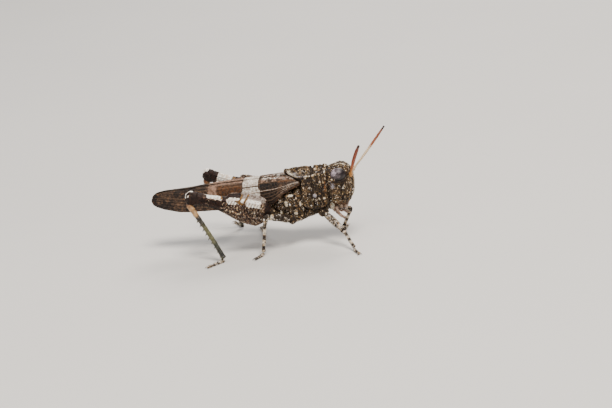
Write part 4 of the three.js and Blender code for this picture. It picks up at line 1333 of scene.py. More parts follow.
def thigh_skin(side):
    """The swollen jumping thigh: keels above and below, a fishbone of ridges, a lobed knee."""
    _, hip, knee, _, _, sideways = leg_points("hind", side)
    along, up, cross = limb_axes(hip, knee, sideways)
    outward = cross if cross[1] * side > 0 else -cross
    root = knee + along * (KNEE_BULGE - HIND_FEMUR[-1][0])
    skin = limb_skin(root, root + along * HIND_FEMUR[-1][0], sideways, HIND_FEMUR, 250, 170, 1.9,
                     (0.3, 0.12))
    s, high, out = ((skin.points - root) @ axis for axis in (along, up, outward))
    above, below, half = stations(HIND_FEMUR, s)
    v = np.where(high > 0, high / above, high / below)
    outer = ease(-0.05, 0.2, out / half)
    shaft = window(s, 0.9, 10.6, 0.4)
    chevron = np.cos(2 * math.pi * (s / 0.44 + 1.5 * np.abs(v - 0.04)))
    field = window(v, -0.44, 0.5, 0.05) * shaft
    keel = hump(out, 0.14) * np.where(high > 0, 0.14 * ease(6.7, 6.2, s) + 0.05, 0.12)
    skin.push(keel * window(s, 0.6, 11.0, 0.5) + 0.1 * (hump(v - 0.54, 0.06) + hump(v + 0.48, 0.06)) * shaft
              + 0.075 * chevron * field * (0.35 + 0.65 * outer) - 0.03 * field)
    lobe = np.hypot(s - 12.0, (high + 0.02) * 0.9)
    skin.push(-0.09 * hump(lobe - 0.62, 0.09) * ease(11.2, 11.6, s) - 0.07 * hump(s - 10.95, 0.12)
              + 0.05 * hump(lobe, 0.4))
    skin.granulate(0.24, 0.055, 61, window(s, 0.2, 10.4, 0.4) * (1 - 0.6 * field * outer))
    skin.wrinkle(0.5, 0.03, 62, ease(11.0, 10.4, s))

    edge = stations([(1.0, 0.3), (2.2, 0.42), (3.75, 0.45), (4.6, 0.5), (5.6, 0.25), (6.7, 0.4)], s)[0]
    fray = 0.5 * (noise(skin.points, 0.5, 65, 3) - 0.5)
    white = window(s + fray, 1.3, 6.5, 0.12) * ease(-0.14, 0.14, high + fray - edge)
    strokes = 0.0
    for s0, h0, s1, h1, wide in THIGH_STROKES:
        run, rise = s1 - s0, h1 - h0
        share = (((s - s0) * run + (high - h0) * rise) / (run ** 2 + rise ** 2)).clip(0, 1)
        strokes = np.maximum(strokes, hump(np.hypot(s - s0 - share * run, high - h0 - share * rise), wide))
    upper = ease(0.7, 0.8, v)
    front = 7.25 + ((high - 0.8) * 1.5).clip(0, 1.1)
    ring = ease(front - 0.1, front + 0.1, s + fray) * ease(9.75, 9.5, s + fray)
    inside = window(s, 7.7, 10.05, 0.1) * ease(-0.9, -0.7, high)
    skin.paint("pale", 1.1 * white * outer * (1 - upper) * (1 - 1.2 * strokes),
               window(s, 2.0, 6.0, 0.2) * (1 - outer) * ease(-0.2, 0.1, high) * (1 - upper),
               np.where(outer > 0.5, ring * ease(0.45, 0.65, high), inside) * 1.1)
    # Painted light: a greyer band along the thigh's upward-facing top, from 0.8 to 4.4 along it.
    skin.paint("vein", window(s, 0.8, 4.4, 0.3) * upper)
    skin.paint("rust", 0.9 * strokes * outer * white + 0.8 * hump(np.hypot(s - 7.35, high - 0.85), 0.25),
               0.5 * hump(np.hypot(s - 12.1, high - 0.5), 0.4) * outer)
    skin.paint("dark", window(s, 4.4, 7.3, 0.2) * upper * outer,
               ease(6.5, 6.65, s) * ease(front + 0.1, front - 0.1, s) * ease(0.3, 0.5, high) * outer,
               0.5 * window(s, 6.4, 7.6, 0.15) * ease(0.25, 0.5, v) * (1 - outer),
               ease(9.9, 10.3, s) + ease(0.9, 0.5, s) * 0.8,
               0.8 * window(s, 6.6, 10.3, 0.3) * window(v, -1.1, 0.4, 0.1) * outer
               * (noise(skin.points, 0.6, 64, 2) > 0.42))
    # Pale rims round the knees, raised a little: partly the knees' own pale crescents and partly a painted
    # highlight and sheen along their tops.
    knee_out, lift = s - 11.95, high - 0.25
    around, radius = np.arctan2(lift, knee_out), np.hypot(knee_out, lift)
    rim = (ease(0.34, 0.5, radius) * window(around, 0.0, 1.8, 0.15) * (1 - outer)
           + 0.66 * ease(0.68, 0.75, radius) * window(around, -0.5, 1.8, 0.2) * outer)
    skin.push(0.1 * rim)
    for mark in (hump(np.hypot(s - 12.36, high - 0.3), 0.17) * outer, rim):
        skin.wipe("dark", 1.3 * mark)
        skin.paint("pale", 1.25 * mark)
    skin.paint("rough", 0.5 * window(s, 0.4, 10.4, 0.3))
    skin.paint("hair", 0.5 * ease(-0.5, -0.95, v) + 0.15 * (1 - outer))
    return skin


def thigh_finish(name, colours):
    """Cuticle of the hind thigh, with clean white fields."""
    look = Finish(name, 0.5, 0.16)
    tints = plateaus((colours.ground, 0.0, 0.34), ((0.04, 0.022, 0.016), 0.4),
                     ((0.07, 0.04, 0.028), 0.64), ((0.12, 0.072, 0.047), 0.7),
                     ((0.2, 0.13, 0.09), 0.87), (colours.buff, 0.94), (colours.cream, 1.0))
    colour = shaded_by_relief(look, mottled(look, tints, 0.24), -0.08, 0.08, 0.4, 1.3)
    blotch = look.stretch(look.noise(0.3, 3.0), 0.44, 0.6)
    white = look.mix(blotch, (0.90, 0.86, 0.78), (0.62, 0.49, 0.38))
    white = shaded_by_relief(look, white, -0.06, 0.03, 0.5, 1.12)
    # The vein mark below is the grey painted light along the thigh's top.
    colour = marked(look, colour, [("dark", colours.ground, (0.032, 0.014, 0.009), 0.4, 0.18),
                                     ("vein", (0.34, 0.28, 0.24), (0.13, 0.095, 0.075), 0.7, 0.2)])
    colour = look.mix(look.mask(look.field("pale"), 0.75, 0.24, 0.5, 0.16), colour, white)
    colour = marked(look, colour, [("rust", (0.26, 0.13, 0.035), (0.05, 0.026, 0.014), 0.7, 0.16)])
    return look.done(colour, granular_bump(look, 0.08, 0.016))


def shin_finish(name, stops):
    """A shin banded from knee to ankle."""
    look = Finish(name, 0.4, 0.5, 0.15)
    place_on = look.math("MULTIPLY_ADD", look.math("SUBTRACT", look.noise(0.3, 2.0), 0.5), 0.09,
                           look.field("along"))
    colour = look.shade(look.ramp(place_on, stops), look.grain(0.16, 3.0, 0.35, 0.65, 0.7, 1.3))
    colour = look.mix(look.mask(look.field("dark"), 0.2, 0.1), colour, (0.012, 0.009, 0.008))
    return look.done(shaded_by_relief(look, colour, -0.04, 0.05, 0.6, 1.2), look.noise_bump(0.06, 0.012))


SHIN_DROP = 1.38                # from the hind knee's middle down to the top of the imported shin


def shin_line(side):
    """Where a hind shin starts inside the knee and ends at the ankle, and its axes."""
    _, hip, knee, ankle, _, sideways = leg_points("hind", side)
    thigh, up, _ = limb_axes(hip, knee, sideways)
    top = knee - up * SHIN_DROP
    along, back, cross = limb_axes(top, ankle, sideways)
    return top - along * 0.45 - thigh * 0.3, ankle, sideways, along, back, cross


def shin_skins(side):
    """A slim shin with a hooked head in the knee and four spurs at its end."""
    start, end, sideways, along, back, cross = shin_line(side)
    shaft = round_limb(start, end, sideways, HIND_TIBIA, 150, 48, (0.3, 0.18), -0.16, 0.85)
    offset = (shaft.points - start) @ along / norm(end - start)
    shaft.fields["along"] = offset.clip(0, 1)
    shaft.push(-0.05 * hump(offset - 0.135, 0.02) + 0.015 * np.sin(offset * 70))
    shaft.granulate(0.16, 0.025, 65)
    shaft.paint("hair", 0.5)
    skins = [shaft]
    for (length, lift), turn in itertools.product(((0.75, 0.1), (0.5, 0.55)), (1, -1)):
        base = end - along * 0.12 + cross * 0.22 * turn + back * (0.24 - lift * 0.4)
        tip = base + along * length * 0.72 + cross * 0.42 * turn + back * (0.3 - lift * 0.5)
        spur = horn_skin(base, tip, 0.17, cross * 0.06 * turn)
        spur.fields["along"] = 0.7 + 0 * spur.x
        skins.append(spur)
    return skins


def foot_skins(ankle, toe, thick=1.0):
    """A foot of three joints lying flat, with two hooked claws and a pad between them."""
    heel = ankle * [1, 1, 0]
    along = unit(toe - heel)
    side = np.array([-along[1], along[0], 0.0])
    length = norm(toe - heel) - CLAW_LENGTH
    share = np.linspace(0, 1, 90)
    half, high = columns(FOOT, share) * thick
    angle = circle(36)
    up = np.where(np.sin(angle) > 0, 0.42 + 0.58 * np.sin(angle),
                  0.42 - 0.42 * np.abs(np.sin(angle)) ** 0.5)
    foot = Skin(domed(heel + (share * length)[:, None, None] * along
                      + (half * bent(np.cos(angle), 0.8))[..., None] * side
                      + (high * up)[..., None] * np.array([0.0, 0.0, 1.0]), 0.1, 0.08))
    spot = ((foot.points - heel) @ along / length).clip(0, 1)
    foot.fields["along"] = spot
    foot.paint("dark", hump(spot - 0.44, 0.04) + hump(spot - 0.67, 0.04) + hump(spot, 0.05))
    foot.paint("pale", window(spot, 0.12, 0.36, 0.05) * 0.5 + window(spot, 0.74, 0.9, 0.05) * 0.3)
    foot.paint("hair", 0.5 * ease(0.15, 0.3, foot.z))
    claws = [horn_skin(heel + along * (length - 0.08) + side * 0.09 * turn + [0, 0, 0.24],
                       heel + along * (length + CLAW_LENGTH - 0.02) + side * 0.34 * turn + [0, 0, 0.05],
                       0.17, np.array([0.0, 0.0, 0.1])) for turn in (-1, 1)]
    pad = ball_skin(heel + along * (length + 0.1) + [0, 0, 0.16], (0.13, 0.13, 0.11), 12, 18)
    return [foot, *claws, pad]


def walking_finish(name, colours):
    """Walking legs: white, broken by dark blotches and rings."""
    look = Finish(name, 0.5, 0.2)
    tints = plateaus((colours.ground, 0.0, 0.36), (colours.brown, 0.44), (colours.tan, 0.54),
                     (colours.buff, 0.64), (colours.cream, 0.78, 1.0))
    colour = shaded_by_relief(look, mottled(look, tints, 0.28, 0.6), -0.05, 0.05, 0.55, 1.15)
    colour = marked(look, colour, [
        ("pale", colours.cream, colours.buff, 0.5, 0.12), ("dark", colours.ground, BROWN, 0.5, 0.16),
    ])
    return look.done(colour, granular_bump(look, 0.07, 0.014))


def coxa_skins(pair, side):
    """The leg's root joint and the small ring joint that carries the thigh."""
    coxa, hip, knee, _, _, sideways = leg_points(pair, side)
    base = round_limb(coxa, hip, sideways, COXA, 50, 60, (0.3, 0.3))
    base.granulate(0.3, 0.07, 71)
    base.wrinkle(0.5, 0.04, 72)
    base.paint("dark", hump(base.fields["along"] - 0.95, 0.12))
    base.paint("rough", 0.5)
    size = 0.52 if pair == "hind" else 0.42
    ring = ball_skin(hip + unit(knee - hip) * 0.12, (size, size * 0.95, size * 1.05), 30, 40)
    ring.granulate(0.22, 0.04, 73)
    return [base, ring]


def straight_skin(start, end, sideways, profile, count, caps, bend, flat):
    """A walking leg's joint, and the share of its length at every point."""
    skin = round_limb(start, end, sideways, profile, 110, count, caps, bend, flat)
    skin.fields["along"] = ((skin.points - start) @ limb_axes(start, end, sideways)[0]
                            / norm(end - start)).clip(0, 1)
    return skin, skin.fields["along"]


def walking_femur_skin(pair, side):
    _, hip, knee, _, _, sideways = leg_points(pair, side)
    skin, share = straight_skin(hip, knee, sideways, FEMUR, 60, (0.22, 0.3), 0.05, 0.8)
    high = (skin.points - hip) @ limb_axes(hip, knee, sideways)[1]
    skin.push(0.045 * (hump(skin.fields["around"] % 0.5 - 0.2, 0.04)) * window(share, 0.1, 0.9, 0.1)
              - 0.05 * hump(share - 0.88, 0.03))
    skin.granulate(0.22, 0.05, 74)
    gate = 0.4 + 0.6 * skin.blotches(0.38, 0.55, 0.4, 79)
    broken = skin.blotches(0.4, 0.55, 0.3, 77)
    blotch = skin.blotches(0.42, 0.5, 0.45, 76) * (pair == "mid")
    skin.paint("dark", (window(share, 0.3, 0.42, 0.06) + window(share, 0.62, 0.72, 0.05)) * gate
               + ease(0.92, 0.98, share), 0.9 * blotch * ease(0.8, 0.7, share))
    skin.paint("pale", 0.6 * window(share, 0.77, 0.85, 0.04) * broken)
    skin.paint("rough", 0.3)
    skin.paint("hair", 0.4 + 0.4 * ease(0.0, -0.3, high))
    return skin


def walking_tibia_skin(pair, side):
    _, _, knee, ankle, _, sideways = leg_points(pair, side)
    skin, share = straight_skin(knee, ankle, sideways, TIBIA, 40, (0.25, 0.16), 0.0, 0.9)
    skin.granulate(0.16, 0.03, 75)
    broken = 0.35 + 0.65 * skin.blotches(0.38, 0.55, 0.34, 78)
    skin.paint("dark", (window(share, 0.2, 0.3, 0.03) + window(share, 0.52, 0.62, 0.04)) * broken
               + window(share, 0.84, 0.96, 0.04) + ease(0.06, 0.0, share))
    skin.paint("pale", (window(share, 0.34, 0.48, 0.04) + window(share, 0.66, 0.8, 0.04)) * broken)
    skin.paint("hair", 0.6)
    return skin


def spine_rows(mesh, look, start, end, back, cross, count, length, thick, low=0.3, high=0.95):
    """Grows two rows of spines along the rear of a shin."""
    tree = node_tree(spine_tree, "Spine row")
    axis = end - start
    along = axis / norm(axis)
    for turn in (-1, 1):
        out = back * 0.86 + cross * 0.5 * turn
        offset = out / norm(out) * 0.2
        mesh = grown(mesh, tree, Start=tuple(place(start + axis * low + offset)),
                     End=tuple(place(start + axis * high + offset)),
                     Lean=tuple(out * 0.8 + along * 0.55), Count=count, Length=length * MM,
                     Thick=thick * MM, Material=look)
    return mesh


# ---------------- settings

def angle_property(name, description, degrees):
    return FloatProperty(name=name, description=description, default=math.radians(degrees),
                         subtype="ANGLE", unit="ROTATION")


def colour_property(name, description, default):
    return FloatVectorProperty(name=name, description=description, default=default, subtype="COLOR",
                               size=3, min=0.0, max=1.0)


def length_property(name, description, millimetres):
    return FloatProperty(name=name, description=description, default=millimetres * MM, min=0.0,
                         subtype="DISTANCE", unit="LENGTH", precision=6)


def as_mm(length):
    return round(length / MM, 4)


class ShellSettings(PropertyGroup):
    """Colours of the body shell and the size of its grains."""

    ground: colour_property("Ground", "Darkest tint of the shell", DARK)
    brown: colour_property("Brown", "Dark brown patches", BROWN)
    olive: colour_property("Olive", "Olive patches", OLIVE)
    tan: colour_property("Tan", "Tan patches", TAN)
    buff: colour_property("Buff", "Buff patches and the dull part of pale marks", BUFF)
    cream: colour_property("Cream", "Bright part of pale marks", CREAM)
    rust: colour_property("Rust", "Orange-brown marks", RUST)
    eye: colour_property("Eye", "Violet-grey of the compound eyes", (0.085, 0.062, 0.068))
    eye_dark: colour_property("Eye mottling", "Brown mottling of the compound eyes", (0.022, 0.014, 0.014))
    tubercle: length_property("Tubercle size", "Radius of the largest grains", 0.09)
    spacing: length_property("Tubercle spacing", "Least distance between grains", 0.2)


class WingSettings(PropertyGroup):
    """Colours of the wings."""

    ground: colour_property("Ground", "Darkest tint of the fore wing", (0.006, 0.004, 0.003))
    rust: colour_property("Rust", "Red-brown band and vein", (0.115, 0.042, 0.013))
    band: colour_property("Band", "White band across the fore wing", (0.90, 0.85, 0.76))
    hind: colour_property("Hind wing", "Membrane of the hind wing", (0.10, 0.12, 0.15))


class LimbSettings(PropertyGroup):
    """Counts and sizes on the feelers and legs."""

    joints: IntProperty(name="Feeler joints", description="Joints in each feeler", default=24, min=3)
    feeler: length_property("Feeler thickness", "Thickness of a feeler", 0.38)
    spines: IntProperty(name="Spines", description="Spines in each row of a hind shin", default=9, min=2)
    spine: length_property("Spine length", "Length of a hind shin's spines", 0.46)
    hair: length_property("Hair length", "Length of the bristles", 0.3)


class StudioSettings(PropertyGroup):
    """Floor, lights and camera."""

    floor: colour_property("Floor", "Colour of the floor", (0.72, 0.69, 0.65))
    key: FloatProperty(name="Key light", description="Power of the main light", default=2.9,
                       min=0.0, subtype="POWER", unit="POWER")
    lens: FloatProperty(name="Lens", description="Focal length of the camera", default=100.0,
                        min=1.0, subtype="DISTANCE_CAMERA", unit="CAMERA")
    azimuth: angle_property("Azimuth", "Camera's turn round the animal from its right side", 10)
    elevation: angle_property("Elevation", "Camera's height above the floor, as an angle", 17)
    roll: angle_property("Roll", "Camera's roll about its line of sight", 7)
    distance: FloatProperty(name="Distance", description="From the camera to the point it looks at",
                            default=0.2595, min=0.01, subtype="DISTANCE", unit="LENGTH", precision=4)


# ---------------- operators

class GRASSHOPPER_OT_trunk(Operator):
    """Builds the pronotum, the side plates, the breastplate and the membrane inside them"""

    bl_idname = "grasshopper.trunk"
    bl_label = "Trunk"

    def execute(self, context):
        shell = context.scene.grasshopper_shell
        hair = as_mm(context.scene.grasshopper_limbs.hair)
        grain, gap = as_mm(shell.tubercle), as_mm(shell.spacing)
        look = shared_cuticle()
        for name, skin, node, seed in (("pronotum_shield", pronotum_skin(), "pronotum", 1),
                                       ("thorax_plates", thorax_skin(), "thorax", 2),
                                       ("breast_plate", prosternum_skin(), "prosternum", 3)):
            put_grained(name, [skin], look, "cuticle", node, grain, gap, seed)
            if node != "pronotum":
                add_hairs(f"{name}_hairs", [skin], (-0.8, 0.0, -0.6), hair, 0.22, seed, "cuticle")
        put("inner_membrane", [core_skin()], material("Joint membrane", membrane_finish), "cuticle")
        return {"FINISHED"}


class GRASSHOPPER_OT_abdomen(Operator):
    """Builds the ringed abdomen, the ovipositor's jaws and the cerci"""

    bl_idname = "grasshopper.abdomen"
    bl_label = "Abdomen"

    def execute(self, context):
        look = material("Abdomen cuticle", abdomen_finish, context.scene.grasshopper_shell)
        skin = abdomen_skin()
        put("abdomen_rings", [skin], look, "abdomen", "abdomen")
        add_hairs("abdomen_hairs", [skin], (-1.4, 0.0, -0.3), 0.22, 0.24, 5, "abdomen")
        for rise, name in ((1, "upper"), (-1, "lower")):
            put(f"ovipositor_jaw_{name}", [valve_skin(rise)], look, "abdomen", f"ovipositor_{name}")
        for side, name in SIDES:
            skin = round_limb(on_side((-4.5, 0.58, 8.2), side), on_side((-5.5, 0.78, 8.1), side),
                              UPRIGHT, [(0, 0.2), (0.35, 0.22), (1, 0.08)], 30, 24)
            skin.granulate(0.14, 0.03, 36)
            put(f"tail_feeler_{name}", [skin], look, "abdomen", f"cercus_{name}")
        return {"FINISHED"}


class GRASSHOPPER_OT_head(Operator):
    """Builds the head capsule with its ridges and simple eyes"""

    bl_idname = "grasshopper.head"
    bl_label = "Head"

    def execute(self, context):
        shell = context.scene.grasshopper_shell
        skin = head_skin()
        put_grained("head_capsule", [skin], shared_cuticle(), "cuticle", "head",
                    as_mm(shell.tubercle) * 0.75, as_mm(shell.spacing), 4)
        add_hairs("head_hairs", [skin], (0.2, 0.0, -0.7), 0.16, 0.24, 6, "cuticle")
        put("simple_eyes", ocelli_skins(), material("Compound eye", eye_finish, shell), "eye")
        return {"FINISHED"}


class GRASSHOPPER_OT_eyes(Operator):
    """Builds the two compound eyes"""

    bl_idname = "grasshopper.eyes"
    bl_label = "Eyes"

    def execute(self, context):
        gloss = material("Compound eye", eye_finish, context.scene.grasshopper_shell)
        for side, name in SIDES:
            ball = ball_skin(on_side(EYE_AT, side), np.array(EYE_SIZE) / 2, 80, 120)
            # Painted reflection: a pale patch on the upper rear of each eye.
            ball.paint("pale", hump(np.hypot(ball.x - 17.55, ball.z - 11.15), 0.55))
            # Darker towards the bottom and the front.
            ball.paint("dark", ease(10.5, 10.1, ball.z - 0.2 * (ball.x - 18.2)) + ease(18.5, 18.9, ball.x))
            put(f"compound_eye_{name}", [ball], gloss, "eye", f"eye_{name}")
        return {"FINISHED"}


class GRASSHOPPER_OT_mouth(Operator):
    """Builds the lips, jaws and palps"""

    bl_idname = "grasshopper.mouth"
    bl_label = "Mouthparts"

    def execute(self, context):
        look = material("Mouth cuticle", mouth_finish)
        lip = plate_skin(19.2, 18.45, 5.9, 4.95, 0.95)
        lip.push(-0.09 * hump(lip.y, 0.16) * ease(5.5, 5.1, lip.z) + 0.03 * hump(np.abs(lip.y) - 0.5, 0.3))
        lip.paint("dark", 0.7 * hump(lip.z - 5.0, 0.1) + hump(lip.z - 5.72, 0.07))
        put("upper_lip", [lip], look, "mouth", "labrum")
        under = plate_skin(17.6, 16.7, 5.9, 4.5, 1.0)
        under.push(-0.08 * hump(under.y, 0.1) * ease(5.3, 4.9, under.z))
        small = [skin for side, _ in SIDES for skin in
                 palp_skins(side, (17.0, 0.72, 5.2), (17.3, 0.85, 4.35), (17.85, 0.8, 4.1), 0.75)]
        lobes = [ball_skin(on_side((16.75, 1.28, 5.75), side), (0.36, 0.2, 0.62), 30, 30)
                 for side, _ in SIDES]
        for lobe in lobes:
            lobe.paint("pale", 0.8)
        put("lower_lip", [under, *small, *lobes], look, "mouth", "labium")
        for side, name in SIDES:
            jaw = plate_skin(18.42, 17.7, 5.9, 4.9, 0.44, 0.5 * side)
            jaw.push(0.04 * np.sin(jaw.z * 22) * ease(5.3, 5.0, jaw.z))
            jaw.paint("dark", ease(5.35, 5.0, jaw.z))
            put(f"jaw_{name}", [jaw], look, "mouth", f"mandible_{name}")
            palp = palp_skins(side, (17.3, 1.26, 5.6), (17.75, 1.5, 4.25), (18.55, 1.4, 3.7))
            put(f"feeding_palp_{name}", palp, look, "mouth", f"palp_{name}")
        return {"FINISHED"}


class GRASSHOPPER_OT_feelers(Operator):
    """Builds the two jointed feelers"""

    bl_idname = "grasshopper.feelers"
    bl_label = "Feelers"

    # The left feeler's pale lower half is painted light and the right feeler's darker, redder colour is
    # painted shade, so the two are a lit and a shaded copy of one colouring.
    STOPS = {
        LEFT: [(0.0, (0.62, 0.44, 0.26)), (0.45, (0.68, 0.52, 0.33)), (0.56, (0.32, 0.09, 0.03)),
               (0.9, (0.2, 0.05, 0.018)), (0.96, (0.03, 0.014, 0.01))],
        RIGHT: [(0.0, (0.52, 0.22, 0.05)), (0.12, (0.46, 0.13, 0.028)), (0.3, (0.32, 0.06, 0.015)),
                (0.88, (0.2, 0.035, 0.012)), (0.97, (0.06, 0.018, 0.01))],
    }
    SWELL = {LEFT: 1.1, RIGHT: 1.45}

    def execute(self, context):
        limbs = context.scene.grasshopper_limbs
        for side, name in SIDES:
            look = antenna_finish(f"Feeler {name}", self.STOPS[side])
            root, bend, tip = (np.array(point) for point in ANTENNAE[side])
            heading = unit(bend - root)
            cup = round_limb(root - heading * 0.25, root + heading * 0.42, UPRIGHT,
                             [(0, 0.2), (0.3, 0.3), (0.85, 0.29), (1, 0.2)], 24, 28, (0.08, 0.08))
            neck = round_limb(root + heading * 0.42, root + heading * 0.72, UPRIGHT,
                              [(0, 0.15), (0.4, 0.22), (1, 0.17)], 16, 28, (0.05, 0.05))
            for skin in (cup, neck):
                skin.fields["along"] *= 0.0
            start, bend, tip = (tuple(place(point)) for point in (root + heading * 0.78, bend, tip))
            mesh = grown(skin_mesh("feeler", [cup, neck]), node_tree(antenna_tree, "Feeler joints"),
                         Root=start, Bend=bend, Tip=tip, Joints=limbs.joints,
                         Thick=limbs.feeler * self.SWELL[side], Material=look)
            show(f"feeler_{name}", mesh, look, "antenna", f"antenna_{name}")
        return {"FINISHED"}


class GRASSHOPPER_OT_wings(Operator):
    """Builds the netted fore wings and the folded hind wings"""

    bl_idname = "grasshopper.wings"
    bl_label = "Wings"

    def execute(self, context):
        colours = context.scene.grasshopper_wings
        leather = material("Fore wing", wing_finish, colours)
        film = material("Hind wing", membrane_wing_finish, colours)
        for side, name in SIDES:
            put(f"fore_wing_{name}", [tegmen_skin(side)], leather, "forewing", f"tegmen_{name}")
            put(f"hind_wing_{name}", [hindwing_skin(side)], film, "hindwing", f"hindwing_{name}")
        return {"FINISHED"}


class GRASSHOPPER_OT_jumping_legs(Operator):
    """Builds the two jumping legs"""

    bl_idname = "grasshopper.jumping_legs"
    bl_label = "Jumping legs"

    STOPS = [(0.0, (0.20, 0.075, 0.025)), (0.08, (0.46, 0.25, 0.10)), (0.22, (0.44, 0.26, 0.11)),
             (0.27, (0.018, 0.013, 0.008)), (0.38, (0.026, 0.021, 0.011)), (0.45, (0.10, 0.092, 0.036)),
             (0.68, (0.115, 0.108, 0.045)), (0.76, (0.035, 0.036, 0.018)), (0.97, (0.014, 0.012, 0.008))]

    def execute(self, context):
        shell, limbs = context.scene.grasshopper_shell, context.scene.grasshopper_limbs
        thigh_look = material("Thigh cuticle", thigh_finish, shell)
        shin_look = material("Banded shin", shin_finish, self.STOPS)
        foot_look = material("Speckled leg", walking_finish, shell)
        for side, name in SIDES:
            put_grained(f"leg_root_hind_{name}", coxa_skins("hind", side), shared_cuticle(), "walking_leg",
                        f"coxa_hind_{name}", 0.07, 0.2, 7)
            thigh = thigh_skin(side)
            put_grained(f"jumping_thigh_{name}", [thigh], thigh_look, "hind_thigh", f"femur_hind_{name}",
                        0.05, 0.22, 8)
            start, end, _, along, back, cross = shin_line(side)
            skins = shin_skins(side)
            mesh = spine_rows(skin_mesh("shin", skins), shin_look, start, end, back, cross,
                              limbs.spines, as_mm(limbs.spine), 0.15)
            show(f"jumping_shin_{name}", mesh, shin_look, "hind_shin", f"tibia_hind_{name}")
            _, _, _, ankle, toe, _ = leg_points("hind", side)
            foot = foot_skins(ankle, toe)
            put(f"foot_hind_{name}", foot, foot_look, "walking_leg", f"tarsus_hind_{name}")
            add_hairs(f"jumping_leg_hairs_{name}", [thigh, skins[0], foot[0]], tuple(along * 0.8),
                      as_mm(limbs.hair), 0.2, 9, "hind_shin")
        return {"FINISHED"}


class GRASSHOPPER_OT_walking_legs(Operator):
    """Builds the four walking legs"""

    bl_idname = "grasshopper.walking_legs"
    bl_label = "Walking legs"

    def execute(self, context):
        look = material("Speckled leg", walking_finish, context.scene.grasshopper_shell)
        hair = as_mm(context.scene.grasshopper_limbs.hair) * 0.7
        for pair, (side, name) in itertools.product(("fore", "mid"), SIDES):
            name = f"{pair}_{name}"
            put_grained(f"leg_root_{name}", coxa_skins(pair, side), shared_cuticle(), "walking_leg",
                        f"coxa_{name}", 0.06, 0.2, 10)
            _, _, knee, ankle, toe, sideways = leg_points(pair, side)
            thigh = walking_femur_skin(pair, side)
            put_grained(f"thigh_{name}", [thigh], look, "walking_leg", f"femur_{name}", 0.045, 0.2, 11)
            shin = walking_tibia_skin(pair, side)
            along, back, cross = limb_axes(knee, ankle, sideways)
            mesh = spine_rows(skin_mesh("tibia", [shin]), look, knee, ankle, -back, cross, 6, 0.26, 0.1,
                              0.45, 0.95)
            show(f"shin_{name}", mesh, look, "walking_leg", f"tibia_{name}")
            foot = foot_skins(ankle, toe, 0.92)
            put(f"foot_{name}", foot, look, "walking_leg", f"tarsus_{name}")
            add_hairs(f"leg_hairs_{name}", [thigh, shin, foot[0]], tuple(along * 0.7), hair, 0.18, 12,
                      "walking_leg")
        return {"FINISHED"}


AIM = (12.52, 0.0, 5.866)       # what the camera looks at


FLOOR_RADIUS = 3.0              # metres


def away(azimuth, elevation):
    """The direction from the animal to a lamp or the camera."""
    return Vector((math.sin(azimuth) * math.cos(elevation), -math.cos(azimuth) * math.cos(elevation),
                   math.sin(elevation)))


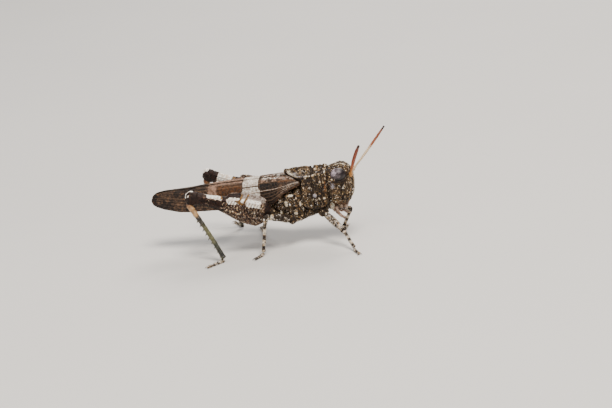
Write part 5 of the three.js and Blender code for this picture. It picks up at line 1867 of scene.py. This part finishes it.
class GRASSHOPPER_OT_studio(Operator):
    """Builds the floor, the soft lights and the camera"""

    bl_idname = "grasshopper.studio"
    bl_label = "Studio"

    # Name, azimuth and elevation in degrees, distance, size, share of the key's power, colour.
    LAMPS = [("key", 28, 64, 0.45, 0.2, 1.0, (1.0, 0.95, 0.88)),
             ("fill", -50, 28, 0.5, 0.4, 0.22, (0.9, 0.95, 1.0)),
             ("rim", 170, 42, 0.5, 0.25, 0.6, (1.0, 0.97, 0.93))]

    def execute(self, context):
        scene = context.scene
        studio = scene.grasshopper_studio
        mesh = bpy.data.meshes.new("floor")
        turn = np.linspace(0, 2 * math.pi, 65)[:-1]
        rim = np.stack([np.cos(turn) * FLOOR_RADIUS, np.sin(turn) * FLOOR_RADIUS, 0 * turn], -1)
        mesh.from_pydata(rim.tolist(), [], [tuple(range(len(rim)))])
        look = Finish("Studio floor", 0.8, 0.2)
        tint = look.mix(look.grain(60.0, 3.0, 0.3, 0.7),
                          tuple(studio.floor), tuple(part * 0.97 for part in studio.floor))
        mesh.materials.append(look.done(tint))
        floor = bpy.data.objects.new("studio_floor", mesh)
        scene.collection.objects.link(floor)

        world = bpy.data.worlds.new("Studio light")
        world.use_nodes = True
        sky = world.node_tree.nodes["Background"]
        sky.inputs["Color"].default_value = (0.86, 0.9, 1.0, 1.0)
        sky.inputs["Strength"].default_value = 0.3
        scene.world = world
        for name, azimuth, elevation, distance, size, share, colour in self.LAMPS:
            data = bpy.data.lights.new(name, "AREA")
            data.shape = "DISK"
            data.size, data.energy, data.color = size, studio.key * share, colour
            lamp = bpy.data.objects.new(name, data)
            back = away(math.radians(azimuth), math.radians(elevation))
            lamp.location = back * distance
            lamp.rotation_euler = back.to_track_quat("Z", "Y").to_euler()
            scene.collection.objects.link(lamp)

        data = bpy.data.cameras.new("camera")
        data.lens, data.sensor_width, data.sensor_fit = studio.lens, 36.0, "HORIZONTAL"
        data.clip_start, data.clip_end = 0.01, 20.0
        camera = bpy.data.objects.new("camera", data)
        back = away(studio.azimuth, studio.elevation)
        right = Vector((math.cos(studio.azimuth), math.sin(studio.azimuth), 0.0))
        up = back.cross(right)
        c, s = math.cos(studio.roll), math.sin(studio.roll)
        turned = Matrix((right * c - up * s, right * s + up * c, back)).transposed()
        camera.matrix_world = (Matrix.Translation(Vector(place(AIM)) + back * studio.distance)
                               @ turned.to_4x4())
        scene.collection.objects.link(camera)
        scene.camera = camera
        return {"FINISHED"}


BUILDERS = (
    GRASSHOPPER_OT_trunk, GRASSHOPPER_OT_abdomen, GRASSHOPPER_OT_head, GRASSHOPPER_OT_eyes,
    GRASSHOPPER_OT_mouth, GRASSHOPPER_OT_feelers, GRASSHOPPER_OT_wings, GRASSHOPPER_OT_jumping_legs,
    GRASSHOPPER_OT_walking_legs, GRASSHOPPER_OT_studio,
)
SETTINGS = (
    ("grasshopper_shell", ShellSettings), ("grasshopper_wings", WingSettings),
    ("grasshopper_limbs", LimbSettings), ("grasshopper_studio", StudioSettings),
)


class GRASSHOPPER_PT_build(Panel):
    """Lists the builders and their settings"""

    bl_label = "Grasshopper"
    bl_space_type = "VIEW_3D"
    bl_region_type = "UI"
    bl_category = "Grasshopper"

    def draw(self, context):
        for builder in BUILDERS:
            self.layout.operator(builder.bl_idname)
        for name, group in SETTINGS:
            box = self.layout.box()
            for key in group.__annotations__:
                box.prop(getattr(context.scene, name), key)


def register():
    for _, group in SETTINGS:
        bpy.utils.register_class(group)
    for kind in (*BUILDERS, GRASSHOPPER_PT_build):
        bpy.utils.register_class(kind)
    for name, group in SETTINGS:
        setattr(bpy.types.Scene, name, PointerProperty(type=group))


def unregister():
    for name, _ in SETTINGS:
        delattr(bpy.types.Scene, name)
    for kind in (GRASSHOPPER_PT_build, *reversed(BUILDERS)):
        bpy.utils.unregister_class(kind)
    for _, group in reversed(SETTINGS):
        bpy.utils.unregister_class(group)


def main():
    """Builds every piece in order."""
    register()
    for builder in BUILDERS:
        group, name = builder.bl_idname.split(".")
        getattr(getattr(bpy.ops, group), name)()


if __name__ == "__main__":
    main()
